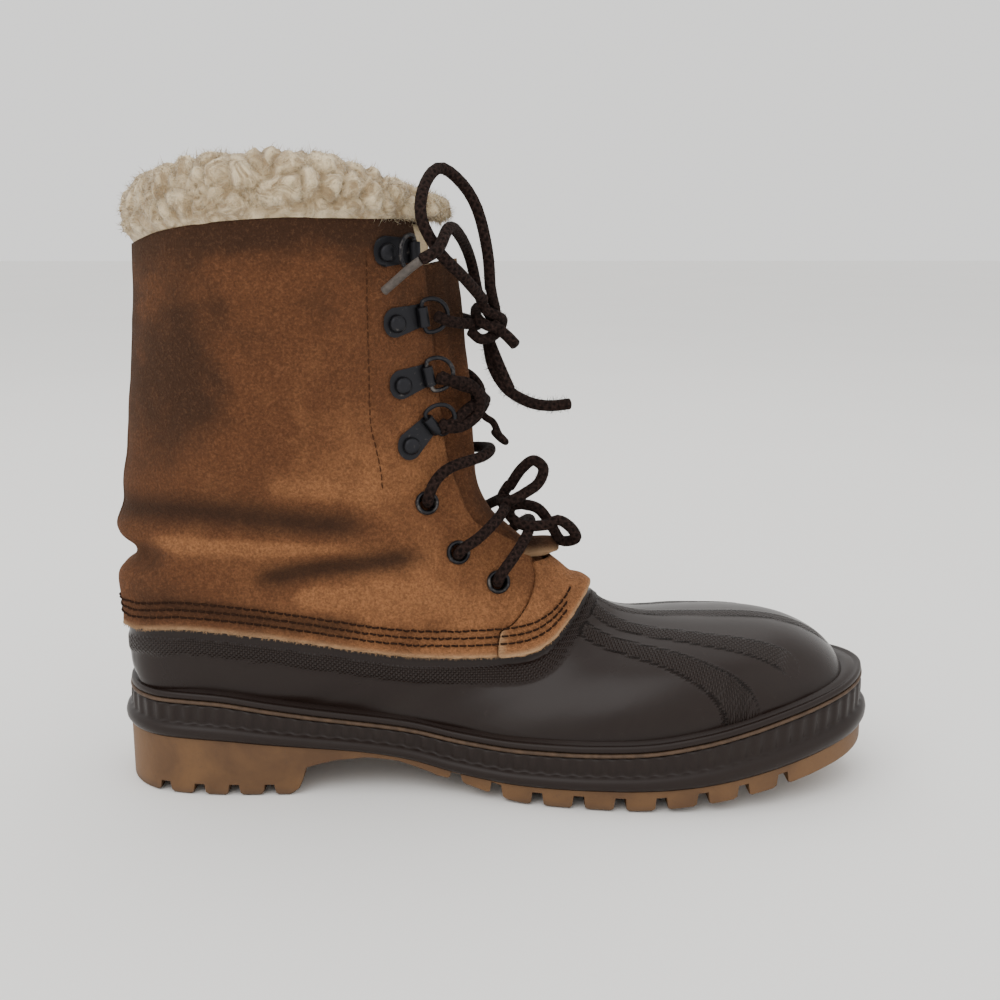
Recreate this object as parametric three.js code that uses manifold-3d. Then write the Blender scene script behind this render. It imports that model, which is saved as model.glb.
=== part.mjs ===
// A left pac boot: rubber shell on a lugged sole, suede shaft laced over a bellows tongue, felt liner
// with a fleece cuff. Millimetres. +X to the toe, +Z up, inner (big toe) side at -Y.
// The origin is on the floor, under the middle of the heel.
import * as THREE from 'three';
import { mergeVertices } from 'three/addons/utils/BufferGeometryUtils.js';
import Module from 'manifold-3d';

const wasm = await Module();
wasm.setup();

// Driving dimensions
const soleLength = 316;
const ballWidth = 115;
const heelBehind = 42;      // from the origin back to the heel's end
const shaftHeight = 233;    // floor to the collar's front corner
const ankleHeight = 98;     // floor to the crease at the back of the ankle
const shaftWidth = 97;      // across the collar
const toeHeight = 67.5;     // floor to the top of the toe box
const instepHeight = 107;   // floor to the foot of the throat
const heelStack = 25;       // thickness of the gum outsole at the heel
const sidewallHeight = 20;  // dark band, gum edge to ledge, at the ball
const sidewallWall = 4;     // how thick the dark ring is
const toeSpring = 17;
const rubberWall = 2.6;
const suedeWall = 2;
const feltWall = 5;
const tongueWall = 1.8;
const gap = 0.3;            // running gap between neighbouring pieces
const hemHeight = 68.5;     // floor to the suede's lower edge at the back
const shellLap = 11;        // how far the shell runs up behind the suede
const shellEase = 1.5;      // more room round the shell in its ring, and over the outsole
const linerEase = 0.5;
const clampRise = 1;        // how far over the ledge the form still keeps within the outline
const bandProud = 0.7;      // knurled band and ribs, out from the shell
const bandDrop = 3;
const bandWidth = 7.5;
const ribWidth = 8.5;
const ribLow = 30;
const rimInner = 12;
const toeShift = 0.03;      // of ballWidth, to the inner side
const vampProud = 1.4;
const vampEndAlong = 0.5;
const vampEndUp = 0.3;
const vampTopUp = 0.4;
const tongueBulge = 9;
const tongueTop = 218;
const tabBack = 118;
const tabFront = 138;
const tabNeck = 2.4;         // half the strip that joins it to the tongue
const tabWidth = 20;
const tabHeight = 97;
const cuffTop = 256;
const cuffProud = 1;
const fleecePile = 9;
const lockCount = 34;
const lockRadius = 4.6;
const lockLevel = 0.93;
const lockSpread = 2.2;

// Tread
const lugPitch = 16.6;
const firstLugNotch = 141.4;  // from the heel's end
const lugNotchWidth = 4.6;
const lugDepth = 5.2;
const heelNotchPitch = 14.6;
const firstHeelNotch = 35;
const heelNotchDepth = 4.2;
const notchReach = 21;        // how far a side notch runs in from the edge
const archHeight = 15.3;
const archWall = 1.6;
const heelLength = 0.225;     // share of soleLength, as are the next three
const forefootStart = 0.42;
const forefootFlat = 0.545;
const springStart = 0.675;
const forefootRamp = 8.5;     // height of the forefoot's first lug over the floor
const breastReach = 14;
const heelNotches = 3;
const forefootNotches = 9;

const breastSteps = [
  { ahead: 0.45, up: 0.16 }, { ahead: 0.78, up: 0.42 }, { ahead: 0.95, up: 0.72 }, { ahead: 1, up: 1 },
];
const shankLine = [
  { along: 0.33, up: 1 }, { along: 0.39, up: 0.9 }, { along: 0.412, up: 0.8 },
];

// Sidewall flutes and stripe
const fluteCount = 90;
const fluteDepth = 1.3;
const stripeHeight = 1.6;
const rimHeight = 3;
const stripeInset = 0.5;      // from the outline, as are the two below
const rimInset = 0.9;
const fluteInset = 0.4;
const bumperBulge = 1;
const bumperShare = 0.36;     // of the dark band's height

// Lacing hardware
const plateWidth = 10.5;
const plateThickness = 1.1;
const rivetRadius = 3.6;
const rivetHeight = 1.5;
const ringWire = 1.8;
const ringWidth = 15;
const ringReach = 11;
const barrelWall = 1;
const ringClearance = 0.4;
const barrelWidth = 8;
const eyeletHole = 3.1;       // radius that the lace passes
const eyeletFlange = 5;
const eyeletWall = 0.7;
const eyeletLift = 0.5;       // the flange's edge clears the curved suede
const eyeletSides = 10;
const laceDiameter = 4.6;

// Sampling of the curved forms: the same for every nested piece, so that none cuts its neighbour
const around = 20;
const outlineSamples = 60;

const smooth = (low, high, v) => {
  const t = Math.min(1, Math.max(0, (v - low) / (high - low)));
  return t * t * (3 - 2 * t);
};

// Outline of the sole seen from above, from the heel's end round the inner side to the toe, and back.
// along is a share of soleLength and out a share of ballWidth.
const innerOutline = [
  { along: 0.015, out: 0.165 }, { along: 0.05, out: 0.27 }, { along: 0.11, out: 0.32 },
  { along: 0.2, out: 0.33 }, { along: 0.3, out: 0.314 }, { along: 0.39, out: 0.312 },
  { along: 0.46, out: 0.35 }, { along: 0.54, out: 0.418 }, { along: 0.62, out: 0.464 },
  { along: 0.71, out: 0.488 }, { along: 0.79, out: 0.48 }, { along: 0.86, out: 0.436 },
  { along: 0.92, out: 0.365 }, { along: 0.965, out: 0.275 }, { along: 0.991, out: 0.165 },
];
const outerOutline = [
  { along: 0.015, out: 0.165 }, { along: 0.05, out: 0.27 }, { along: 0.11, out: 0.325 },
  { along: 0.2, out: 0.342 }, { along: 0.3, out: 0.352 }, { along: 0.4, out: 0.392 },
  { along: 0.49, out: 0.448 }, { along: 0.58, out: 0.497 }, { along: 0.66, out: 0.508 },
  { along: 0.74, out: 0.488 }, { along: 0.82, out: 0.432 }, { along: 0.89, out: 0.345 },
  { along: 0.945, out: 0.24 }, { along: 0.982, out: 0.125 },
];

// Ribs over the toe, from the band forward
const toeRibs = [
  [{ along: 0.6, out: 0 }, { along: 0.78, out: -0.02 }, { along: 0.955, out: -0.03 }],
  [{ along: 0.62, out: -0.06 }, { along: 0.74, out: -0.2 }, { along: 0.88, out: -0.3 }],
  [{ along: 0.62, out: -0.15 }, { along: 0.73, out: -0.31 }, { along: 0.83, out: -0.44 }],
  [{ along: 0.62, out: 0.06 }, { along: 0.73, out: 0.17 }, { along: 0.86, out: 0.24 }],
  [{ along: 0.62, out: 0.15 }, { along: 0.71, out: 0.3 }, { along: 0.79, out: 0.42 }],
];

// Height of the gum edge as a share of heelStack, and of the dark band as a share of sidewallHeight
const soleProfile = [
  { along: 0, gum: 1, band: 0.95 }, { along: 0.13, gum: 0.97, band: 0.97 },
  { along: 0.2, gum: 0.89, band: 0.9 }, { along: 0.27, gum: 0.8, band: 0.82 },
  { along: 0.33, gum: 0.715, band: 0.79 }, { along: 0.39, gum: 0.58, band: 0.82 },
  { along: 0.445, gum: 0.42, band: 0.87 }, { along: 0.5, gum: 0.34, band: 0.9 },
  { along: 0.56, gum: 0.325, band: 0.92 }, { along: 0.63, gum: 0.34, band: 0.93 },
  { along: 0.7, gum: 0.37, band: 0.97 }, { along: 0.765, gum: 0.45, band: 1.05 },
  { along: 0.82, gum: 0.56, band: 1.11 }, { along: 0.87, gum: 0.68, band: 1.15 },
  { along: 1, gum: 1.02, band: 1.18 },
];

// Sections of the shaft: back and front ends in the side view. along is a share of soleLength, up a
// share of the way from the ankle to the collar, round the exponent of the section's curve there.
const shaftSections = [
  { backAlong: 0.048, backUp: 1.22, frontAlong: 0.42, frontUp: 1.22, backRound: 2.2, frontRound: 1.9 },
  { backAlong: 0.042, backUp: 0.96, frontAlong: 0.431, frontUp: 1, backRound: 2.2, frontRound: 1.8 },
  { backAlong: 0.035, backUp: 0.72, frontAlong: 0.437, frontUp: 0.78, backRound: 2.2, frontRound: 1.75 },
  { backAlong: 0.028, backUp: 0.52, frontAlong: 0.442, frontUp: 0.59, backRound: 2.2, frontRound: 1.75 },
  { backAlong: 0.016, backUp: 0.34, frontAlong: 0.452, frontUp: 0.43, backRound: 2.3, frontRound: 1.8 },
  { backAlong: 0.003, backUp: 0.19, frontAlong: 0.464, frontUp: 0.3, backRound: 2.5, frontRound: 1.85 },
  { backAlong: -0.003, backUp: 0.08, frontAlong: 0.48, frontUp: 0.2, backRound: 2.6, frontRound: 1.9 },
  { backAlong: 0.009, backUp: 0, frontAlong: 0.5, frontUp: 0.125, backRound: 2.7, frontRound: 2 },
];
// Sections of the heel: up is a share of ankleHeight at the back and of instepHeight at the front
const heelSections = [
  { backAlong: -0.004, backUp: 0.9, frontAlong: 0.525, frontUp: 1, backRound: 2.9, frontRound: 2 },
  { backAlong: 0, backUp: 0.73, frontAlong: 0.554, frontUp: 0.916, backRound: 3.2, frontRound: 2.05 },
  { backAlong: 0.004, backUp: 0.49, frontAlong: 0.585, frontUp: 0.832, backRound: 3.5, frontRound: 2.1 },
  { backAlong: 0.014, backUp: 0.415, frontAlong: 0.602, frontUp: 0.79, backRound: 4, frontRound: 2.1 },
];
// Sections of the foot: their lower ends stand on the outsole, and up is a share of toeHeight
const footSections = [
  { backAlong: 0.038, frontAlong: 0.618, frontUp: 1.2, frontRound: 2.1 },
  { backAlong: 0.155, frontAlong: 0.64, frontUp: 1.11, frontRound: 2.1 },
  { backAlong: 0.266, frontAlong: 0.665, frontUp: 1.042, frontRound: 2.15 },
  { backAlong: 0.377, frontAlong: 0.693, frontUp: 1.008, frontRound: 2.2 },
  { backAlong: 0.472, frontAlong: 0.722, frontUp: 1, frontRound: 2.3 },
  { backAlong: 0.566, frontAlong: 0.757, frontUp: 1, frontRound: 2.4 },
  { backAlong: 0.646, frontAlong: 0.797, frontUp: 1, frontRound: 2.4 },
  { backAlong: 0.725, frontAlong: 0.838, frontUp: 0.998, frontRound: 2.4 },
  { backAlong: 0.797, frontAlong: 0.877, frontUp: 0.98, frontRound: 2.4 },
  { backAlong: 0.858, frontAlong: 0.911, frontUp: 0.94, frontRound: 2.4 },
  { backAlong: 0.905, frontAlong: 0.943, frontUp: 0.865, frontRound: 2.4 },
  { backAlong: 0.94, frontAlong: 0.966, frontUp: 0.77, frontRound: 2.4 },
  { backAlong: 0.96, frontAlong: 0.979, frontUp: 0.66, frontRound: 2.4 },
];
const footBottomRound = 5;
const shaftWidest = 0.43;    // where a section is widest, as a share of its way from back to front
const footWidest = 0.27;

// Half width of the shaft as a share of shaftWidth, by share of the way from ankle to collar
const shaftWidths = [
  { up: 0.05, half: 0.352 }, { up: 0.18, half: 0.37 }, { up: 0.36, half: 0.415 },
  { up: 0.57, half: 0.458 }, { up: 0.8, half: 0.485 }, { up: 1.22, half: 0.5 },
];

// Lines in the side view. up is a share of shaftHeight for collar and front edge, of hemHeight for the hem.
const collarLine = [
  { along: -0.1, up: 0.955 }, { along: 0.041, up: 0.962 }, { along: 0.1, up: 0.983 },
  { along: 0.17, up: 0.997 }, { along: 0.28, up: 1.005 }, { along: 0.4, up: 1.002 },
  { along: 0.6, up: 0.995 },
];
const hemLine = [
  { along: -0.1, up: 1 }, { along: 0.03, up: 1.005 }, { along: 0.1, up: 1.03 }, { along: 0.2, up: 0.985 },
  { along: 0.265, up: 0.937 }, { along: 0.38, up: 0.848 }, { along: 0.44, up: 0.827 },
  { along: 0.5, up: 0.826 }, { along: 0.545, up: 0.845 }, { along: 0.575, up: 0.91 },
  { along: 0.603, up: 1.045 }, { along: 0.63, up: 1.2 }, { along: 0.68, up: 1.5 },
];
const quarterFront = [
  { up: 1.2, along: 0.39 }, { up: 1.002, along: 0.397 }, { up: 0.924, along: 0.411 },
  { up: 0.776, along: 0.422 }, { up: 0.685, along: 0.429 }, { up: 0.598, along: 0.437 },
  { up: 0.54, along: 0.451 }, { up: 0.479, along: 0.4725 }, { up: 0.454, along: 0.503 },
  { up: 0.421, along: 0.5396 }, { up: 0.379, along: 0.553 }, { up: 0.336, along: 0.544 },
  { up: 0.3, along: 0.524 },
];
// The top line of the fleece, as a share of cuffTop
const cuffLine = [
  { along: -0.1, up: 0.955 }, { along: 0.04, up: 0.965 }, { along: 0.1, up: 0.984 },
  { along: 0.19, up: 0.997 }, { along: 0.27, up: 1 }, { along: 0.36, up: 0.975 },
  { along: 0.42, up: 0.945 }, { along: 0.6, up: 0.93 },
];
// Across the tongue, in columns of the form from its front line
const tongueSteps = [
  { at: -2.6, bulge: 0 }, { at: -2, bulge: 0 }, { at: -1, bulge: 0 }, { at: -0.65, bulge: 0.65 },
  { at: 0, bulge: 1 }, { at: 0.65, bulge: 0.65 }, { at: 1, bulge: 0 }, { at: 2, bulge: 0 },
  { at: 2.6, bulge: 0 },
];
// How far the tongue bulges ahead of the shaft's front line, as a share of tongueBulge, by section
const tongueBulges = [0.7, 0.75, 0.9, 1, 0.85, 0.5, 0.1, 0, 0, 0, 0];

// Seats of the rings' rivets and of the eyelets. along is a share of soleLength, up of shaftHeight.
// tilt and open are in degrees: the clip's rise to the front, and how far the ring stands off the suede.
const ringSeats = [
  { along: 0.366, up: 0.948, tilt: 0, open: 168 }, { along: 0.376, up: 0.831, tilt: 8, open: 32 },
  { along: 0.382, up: 0.726, tilt: 12, open: 32 }, { along: 0.391, up: 0.621, tilt: 37, open: 32 },
];
const eyeletSeats = [
  { along: 0.411, up: 0.518 }, { along: 0.451, up: 0.429 }, { along: 0.503, up: 0.373 },
];
const pivotReach = 11.5;      // from the rivet to the ring's pivot
const plateFront = 8.4;
const barrelRadius = ringWire / 2 + ringClearance + barrelWall;

// The lace, by hand: each row of points is one stretch
const laceBars = {
  lace_bar_ring_2: [[101, -15, 193], [106, -8, 192], [108.5, 0, 191], [106, 8, 192], [101, 15, 193]],
  lace_bar_ring_3: [[102, -15, 168], [108, -9, 165], [111.5, 0, 159], [108, 9, 153], [102, 15, 152]],
  lace_bar_eyelet_1: [[89, -28, 126], [91, -27, 131], [97, -23, 135], [111, -11, 138], [114, 0, 139],
    [111, 11, 138], [97, 23, 135], [91, 27, 131], [89, 28, 126]],
  lace_bar_eyelet_2: [[102, -29.5, 102], [109, -27, 107], [118, -16, 114], [121, 0, 117], [118, 16, 114],
    [109, 27, 107], [102, 29.5, 102]],
  lace_bar_eyelet_3: [[118, -28, 92], [123, -25, 98], [129, -14, 105], [131, 0, 108], [129, 14, 105],
    [123, 25, 98], [118, 28, 92]],
};
const laceKnot = [
  [[113, -6, 190], [114.5, 0, 193], [114, 5, 198]],
  [[113.5, 5, 189], [115, 0, 192], [114, -5, 197]],
];
const laceCords = {
  lace_loop_tall: [[111, -11, 202], [103, -27, 212], [94, -38, 222], [88, -39, 234], [89, -31, 246],
    [95, -18, 253], [104, -9, 246], [109, -8, 237], [113, -9, 220], [114, -7, 206]],
  lace_end_inner: [[109, 5, 203], [106, 4, 217], [102, -13, 227], [98, -34, 230], [94, -48, 222], [89, -51, 219]],
  lace_end_tipped: [[118, -8, 190], [121, -10, 187], [124, -12, 184]],
  lace_end_long: [[113, 1, 183], [115, -2, 174], [121, -6, 165], [130, -9, 160], [138, -12, 159], [146, -14, 160]],
  lace_end_knotted: [[115, -4, 151], [117, -5, 147], [119, -6, 143]],
  lace_loop_middle: [[122, -1, 123], [127, -3, 131], [132, -5, 135], [136, -6, 132], [134, -8, 126], [127, -9, 121]],
  lace_loop_low: [[127, -3, 116], [134, -3, 114], [140, -2, 106], [144, -3, 100], [150, -7, 102],
    [147, -11, 108], [142, -12, 111], [138, -12, 109]],
};
const laceAglets = {
  aglet_inner: [[86, -50.5, 217], [74, -45, 207]],
};
const agletDiameter = 3.6;
const laceSides = 6;

const alongToX = (along) => along * soleLength - heelBehind;
const xToAlong = (x) => (x + heelBehind) / soleLength;
const shaftZ = (up) => ankleHeight + up * (shaftHeight - ankleHeight);
const lap = suedeWall + gap;              // how far the shell lies inside the suede's face
const shellInside = lap + rubberWall;
const linerOutside = shellInside + linerEase;
const linerInside = linerOutside + feltWall;
const ringInside = sidewallWall + gap;    // from the outline in to the shell

// A smooth curve through a table's rows
function tableValue(rows, key, column, v) {
  const last = rows.length - 1;
  if (v <= rows[0][key]) return rows[0][column];
  if (v >= rows[last][key]) return rows[last][column];
  const slope = (k) => {
    const low = rows[Math.max(0, k - 1)];
    const high = rows[Math.min(last, k + 1)];
    return (high[column] - low[column]) / (high[key] - low[key]);
  };
  let i = 0;
  while (v > rows[i + 1][key]) i += 1;
  const width = rows[i + 1][key] - rows[i][key];
  const t = (v - rows[i][key]) / width;
  const t2 = t * t;
  const t3 = t2 * t;
  return (2 * t3 - 3 * t2 + 1) * rows[i][column] + (t3 - 2 * t2 + t) * width * slope(i)
    + (3 * t2 - 2 * t3) * rows[i + 1][column] + (t3 - t2) * width * slope(i + 1);
}

const gumTop = (x) => heelStack * tableValue(soleProfile, 'along', 'gum', xToAlong(x));
const bandHeight = (x) => sidewallHeight * tableValue(soleProfile, 'along', 'band', xToAlong(x));
const ledgeZ = (x) => gumTop(x) + bandHeight(x);

// Solids and meshes
function closedSolid(points, triangles) {
  const positions = new Float32Array(points.flatMap((p) => [p.x, p.y, p.z]));
  let volume = 0;
  const a = new THREE.Vector3();
  const b = new THREE.Vector3();
  const c = new THREE.Vector3();
  for (const [i, j, k] of triangles) {
    a.fromArray(positions, 3 * i);
    b.fromArray(positions, 3 * j);
    c.fromArray(positions, 3 * k);
    volume += a.dot(b.cross(c));
  }
  const ordered = volume > 0 ? triangles : triangles.map(([i, j, k]) => [i, k, j]);
  return new wasm.Manifold(new wasm.Mesh({
    numProp: 3, vertProperties: positions, triVerts: new Uint32Array(ordered.flat()),
  }));
}

function solidFromGeometry(source) {
  const bare = source.index ? source.toNonIndexed() : source.clone();
  for (const name of Object.keys(bare.attributes)) {
    if (name !== 'position') bare.deleteAttribute(name);
  }
  const merged = mergeVertices(bare, 1e-4);
  return new wasm.Manifold(new wasm.Mesh({
    numProp: 3, vertProperties: new Float32Array(merged.attributes.position.array),
    triVerts: new Uint32Array(merged.index.array),
  }));
}

function geometryFromSolid(solid) {
  const mesh = solid.getMesh();
  const geometry = new THREE.BufferGeometry();
  geometry.setAttribute('position', new THREE.BufferAttribute(mesh.vertProperties, 3));
  geometry.setIndex(new THREE.BufferAttribute(mesh.triVerts, 1));
  geometry.computeVertexNormals();
  return geometry;
}

// A body from rows of points: each row is a closed loop. joined closes the last row on the first;
// otherwise each end is closed by a fan to the point given.
function rowsSolid(rows, { joined = false, firstPoint, lastPoint } = {}) {
  const count = rows[0].length;
  const points = rows.flat();
  const triangles = [];
  const rowCount = rows.length;
  for (let i = 0; i < (joined ? rowCount : rowCount - 1); i++) {
    const here = i * count;
    const next = ((i + 1) % rowCount) * count;
    for (let j = 0; j < count; j++) {
      const k = (j + 1) % count;
      triangles.push([here + j, here + k, next + k], [here + j, next + k, next + j]);
    }
  }
  if (!joined) {
    const first = points.push(firstPoint) - 1;
    const last = points.push(lastPoint) - 1;
    const end = (rowCount - 1) * count;
    for (let j = 0; j < count; j++) {
      const k = (j + 1) % count;
      triangles.push([first, k, j], [last, end + j, end + k]);
    }
  }
  return closedSolid(points, triangles);
}

// The largest body of a solid, without the slivers that a cut leaves
const mainBody = (solid) => solid.decompose().sort((a, b) => b.volume() - a.volume())[0];

const centreOf = (row) => row.reduce((sum, p) => sum.add(p), new THREE.Vector3()).divideScalar(row.length);

// A slab that runs right across the boot and has the given outline in the side view
const across = 90;
function sideRegion(points) {
  const shape = new THREE.Shape(points.map(([x, z]) => new THREE.Vector2(x, z)));
  const slab = new THREE.ExtrudeGeometry(shape, { depth: 2 * across, bevelEnabled: false });
  slab.rotateX(Math.PI / 2);
  slab.translate(0, across, 0);
  return solidFromGeometry(slab);
}

// The same for an outline seen from above
function planRegion(points, low, high) {
  const shape = new THREE.Shape(points.map(([x, y]) => new THREE.Vector2(x, y)));
  const slab = new THREE.ExtrudeGeometry(shape, { depth: high - low, bevelEnabled: false });
  slab.translate(0, 0, low);
  return solidFromGeometry(slab);
}

const low = -60;
const high = 330;
const rear = -120;
const fore = 360;
const profileStep = 0.035;
function lineAbove(rows, scale, lift) {
  const line = [];
  for (let along = -0.08; along < 1.06; along += profileStep) {
    line.push([alongToX(along), scale * tableValue(rows, 'along', 'up', along) + lift]);
  }
  return line;
}
const aboveLine = (rows, scale, lift) => {
  const line = lineAbove(rows, scale, lift);
  return sideRegion([...line, [fore, high], [rear, high]]);
};
const belowLine = (rows, scale, lift) => {
  const line = lineAbove(rows, scale, lift);
  return sideRegion([[rear, low], [fore, low], ...line.reverse()]);
};
const betweenHeights = (bottom, top) => {
  const line = [];
  for (let along = -0.04; along < 1.04; along += profileStep) line.push(alongToX(along));
  return sideRegion([...line.map((x) => [x, bottom(x)]), ...line.reverse().map((x) => [x, top(x)])]);
};

// The sole's outline, its samples with outward normals, and its half width at an inset
const outlineCurve = (() => {
  const place = (row, side) => new THREE.Vector3(alongToX(row.along), side * row.out * ballWidth, 0);
  const heelEnd = new THREE.Vector3(alongToX(0), 0, 0);
  const toeEnd = new THREE.Vector3(alongToX(1), -toeShift * ballWidth, 0);
  const inner = innerOutline.map((r) => place(r, -1));
  const outer = outerOutline.map((r) => place(r, 1)).reverse();
  const curve = new THREE.CatmullRomCurve3([heelEnd, ...inner, toeEnd, ...outer], true, 'centripetal');
  curve.arcLengthDivisions = 800;
  return curve;
})();

function outlineLoop(count, inset) {
  const loop = [];
  for (let i = 0; i < count; i++) {
    const p = outlineCurve.getPointAt(i / count);
    const t = outlineCurve.getTangentAt(i / count);
    loop.push([p.x - t.y * inset, p.y + t.x * inset]);
  }
  return loop;
}

const formInset = ringInside - lap + shellEase;
const formOutline = outlineLoop(480, formInset);
function formHalfWidth(x, side, outline = formOutline) {
  let best = 0;
  outline.forEach(([x1, y1], i) => {
    const [x2, y2] = outline[(i + 1) % outline.length];
    if ((x1 - x) * (x2 - x) > 0 || x1 === x2) return;
    best = Math.max(best, side * (y1 + ((x - x1) / (x2 - x1)) * (y2 - y1)));
  });
  return best;
}

// The form: the last's own shape, a closed row of points for each section from the collar to the toe
const formSections = (() => {
  const shaft = shaftSections.map((r) => {
    const half = shaftWidth * tableValue(shaftWidths, 'up', 'half', (r.backUp + r.frontUp) / 2);
    return {
      back: [alongToX(r.backAlong), shaftZ(r.backUp)], front: [alongToX(r.frontAlong), shaftZ(r.frontUp)],
      widest: shaftWidest, inner: half, outer: half, backRound: r.backRound, frontRound: r.frontRound,
    };
  });
  const lower = (r, backZ, frontZ, widest, backRound) => {
    const back = [alongToX(r.backAlong), backZ];
    const front = [alongToX(r.frontAlong), frontZ];
    const x = back[0] + widest * (front[0] - back[0]);
    return {
      back, front, widest, inner: formHalfWidth(x, -1), outer: formHalfWidth(x, 1),
      backRound, frontRound: r.frontRound, inFoot: true,
    };
  };
  const heel = heelSections.map((r, i) => {
    const widest = shaftWidest + ((i + 1) / (heelSections.length + 1)) * (footWidest - shaftWidest);
    return lower(r, r.backUp * ankleHeight, r.frontUp * instepHeight, widest, r.backRound);
  });
  const foot = footSections.map((r) => {
    const backZ = gumTop(alongToX(r.backAlong)) + gap - lap + shellEase;
    return lower(r, backZ, r.frontUp * toeHeight + lap, footWidest, footBottomRound);
  });
  return [...shaft, ...heel, ...foot];
})();

function sectionPoint(section, turn, outline) {
  const c = -Math.cos(2 * Math.PI * turn);
  const s = Math.sin(2 * Math.PI * turn);
  const round = c < 0 ? section.backRound : section.frontRound;
  const reach = c < 0 ? section.widest : 1 - section.widest;
  const share = section.widest + reach * Math.sign(c) * Math.abs(c) ** (2 / round);
  const side = s > 0 ? -1 : 1;
  const x = section.back[0] + share * (section.front[0] - section.back[0]);
  const z = section.back[1] + share * (section.front[1] - section.back[1]);
  let half = (s > 0 ? section.inner : section.outer) * Math.abs(s) ** (2 / round);
  if (section.inFoot && z < ledgeZ(x) + clampRise) half = Math.min(half, formHalfWidth(x, side, outline));
  return new THREE.Vector3(x, side * half, z);
}

const formRows = formSections.map((section) => (
  Array.from({ length: around }, (_, j) => sectionPoint(section, j / around))
));
const toeTip = (() => {
  const row = formRows[formRows.length - 1];
  return new THREE.Vector3(alongToX(1) - formInset, centreOf(row).y, centreOf(row).z);
})();
const formNormals = formRows.map((row, i) => row.map((point, j) => {
  const before = formRows[Math.max(0, i - 1)][j];
  const after = i + 1 < formRows.length ? formRows[i + 1][j] : toeTip;
  const down = after.clone().sub(before);
  const round = row[(j + 1) % around].clone().sub(row[(j + around - 1) % around]);
  return round.cross(down).normalize().negate();
}));

// The form grown by out, or shrunk where out is negative: its sections' ends move along the surface's
// normals there. stride leaves rows and columns out.
function form(out, stride = 1) {
  const outline = outlineLoop(480, formInset - out);
  const rows = [];
  formSections.forEach((section, i) => {
    if (i % stride && i !== formSections.length - 1) return;
    const backward = formNormals[i][0];
    const forward = formNormals[i][around / 2];
    const grown = {
      ...section, inner: section.inner + out, outer: section.outer + out,
      back: [section.back[0] + out * backward.x, section.back[1] + out * backward.z],
      front: [section.front[0] + out * forward.x, section.front[1] + out * forward.z],
    };
    rows.push(Array.from({ length: around / stride }, (_, j) => (
      sectionPoint(grown, (j * stride) / around, outline)
    )));
  });
  const tip = toeTip.clone();
  tip.x += out;
  return rowsSolid(rows, { firstPoint: centreOf(rows[0]), lastPoint: tip });
}
const layer = (outside, inside) => form(-outside).subtract(form(-inside));

// A ring that follows the sole's outline. Each corner has its inset and its height as a function of x.
function outlineRing(count, corners) {
  const loops = corners.map((corner) => outlineLoop(count, corner.inset));
  const rows = Array.from({ length: count }, (_, i) => corners.map((corner, k) => {
    const [x, y] = loops[k][i];
    const flute = corner.fluted && i % 2 ? fluteDepth : 0;
    const [shiftX, shiftY] = outlineInward(i / count, flute);
    return new THREE.Vector3(x + shiftX, y + shiftY, corner.z(x + shiftX));
  }));
  return rowsSolid(rows, { joined: true });
}
function outlineInward(share, distance) {
  const t = outlineCurve.getTangentAt(share);
  return [-t.y * distance, t.x * distance];
}

// Pieces
const treadZ = (x) => {
  const t = Math.max(0, (xToAlong(x) - springStart) / (1 - springStart));
  return toeSpring * t ** 1.4;
};
function outsole() {
  const bottomLine = [];
  const heelEndX = alongToX(0) - 5;
  bottomLine.push([heelEndX, 0], [alongToX(heelLength), 0]);
  for (const step of breastSteps) {
    bottomLine.push([alongToX(heelLength) + step.ahead * breastReach, step.up * archHeight]);
  }
  for (const row of shankLine) {
    const x = alongToX(row.along);
    bottomLine.push([x, Math.min(row.up * archHeight, gumTop(x) - archWall)]);
  }
  for (let along = forefootStart; along < 1.03; along += profileStep) {
    const x = alongToX(along);
    const ramp = forefootRamp * (1 - smooth(forefootStart - 0.02, forefootFlat, along));
    bottomLine.push([x, Math.max(ramp, treadZ(x))]);
  }
  const topLine = [];
  for (let along = 1.02; along > -0.03; along -= profileStep) topLine.push([alongToX(along), gumTop(alongToX(along))]);
  const blank = planRegion(outlineLoop(outlineSamples, 0), -2, 70);
  let solid = blank.intersect(sideRegion([...bottomLine, ...topLine]));
  for (const notch of notches()) solid = solid.subtract(notch);
  return solid;
}

// Notches between the lugs, cut in from both sides square to the outline
function notches() {
  const cuts = [];
  const place = (x, side, depth, z) => {
    const y = side * formHalfWidth(x, side);
    const cut = new THREE.BoxGeometry(lugNotchWidth, 2 * notchReach, 2 * depth);
    cut.translate(x, y, z);
    cuts.push(solidFromGeometry(cut));
  };
  for (const side of [-1, 1]) {
    for (let n = 0; n < heelNotches; n++) {
      place(alongToX(0) + firstHeelNotch + n * heelNotchPitch, side, heelNotchDepth, 0);
    }
    for (let n = 0; n < forefootNotches; n++) {
      const x = alongToX(0) + firstLugNotch + n * lugPitch;
      const ramp = forefootRamp * (1 - smooth(forefootStart - 0.02, forefootFlat, xToAlong(x)));
      place(x, side, lugDepth, Math.max(ramp, treadZ(x)));
    }
  }
  return cuts;
}

const stripeTop = (x) => ledgeZ(x) - rimHeight - gap;
const stripeBottom = (x) => stripeTop(x) - stripeHeight;
const bandBottom = (x) => gumTop(x) + gap;
const bandTop = (x) => stripeBottom(x) - gap;
const bandLevel = (share) => (x) => bandBottom(x) + share * (bandTop(x) - bandBottom(x));

function sidewall() {
  return outlineRing(2 * fluteCount, [
    { inset: sidewallWall, z: bandBottom }, { inset: -bumperBulge / 2, z: bandBottom },
    { inset: -bumperBulge, z: bandLevel(bumperShare) },
    { inset: fluteInset, z: bandLevel(bumperShare + 0.1), fluted: true },
    { inset: fluteInset, z: bandTop, fluted: true }, { inset: sidewallWall, z: bandTop },
  ]);
}

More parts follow.
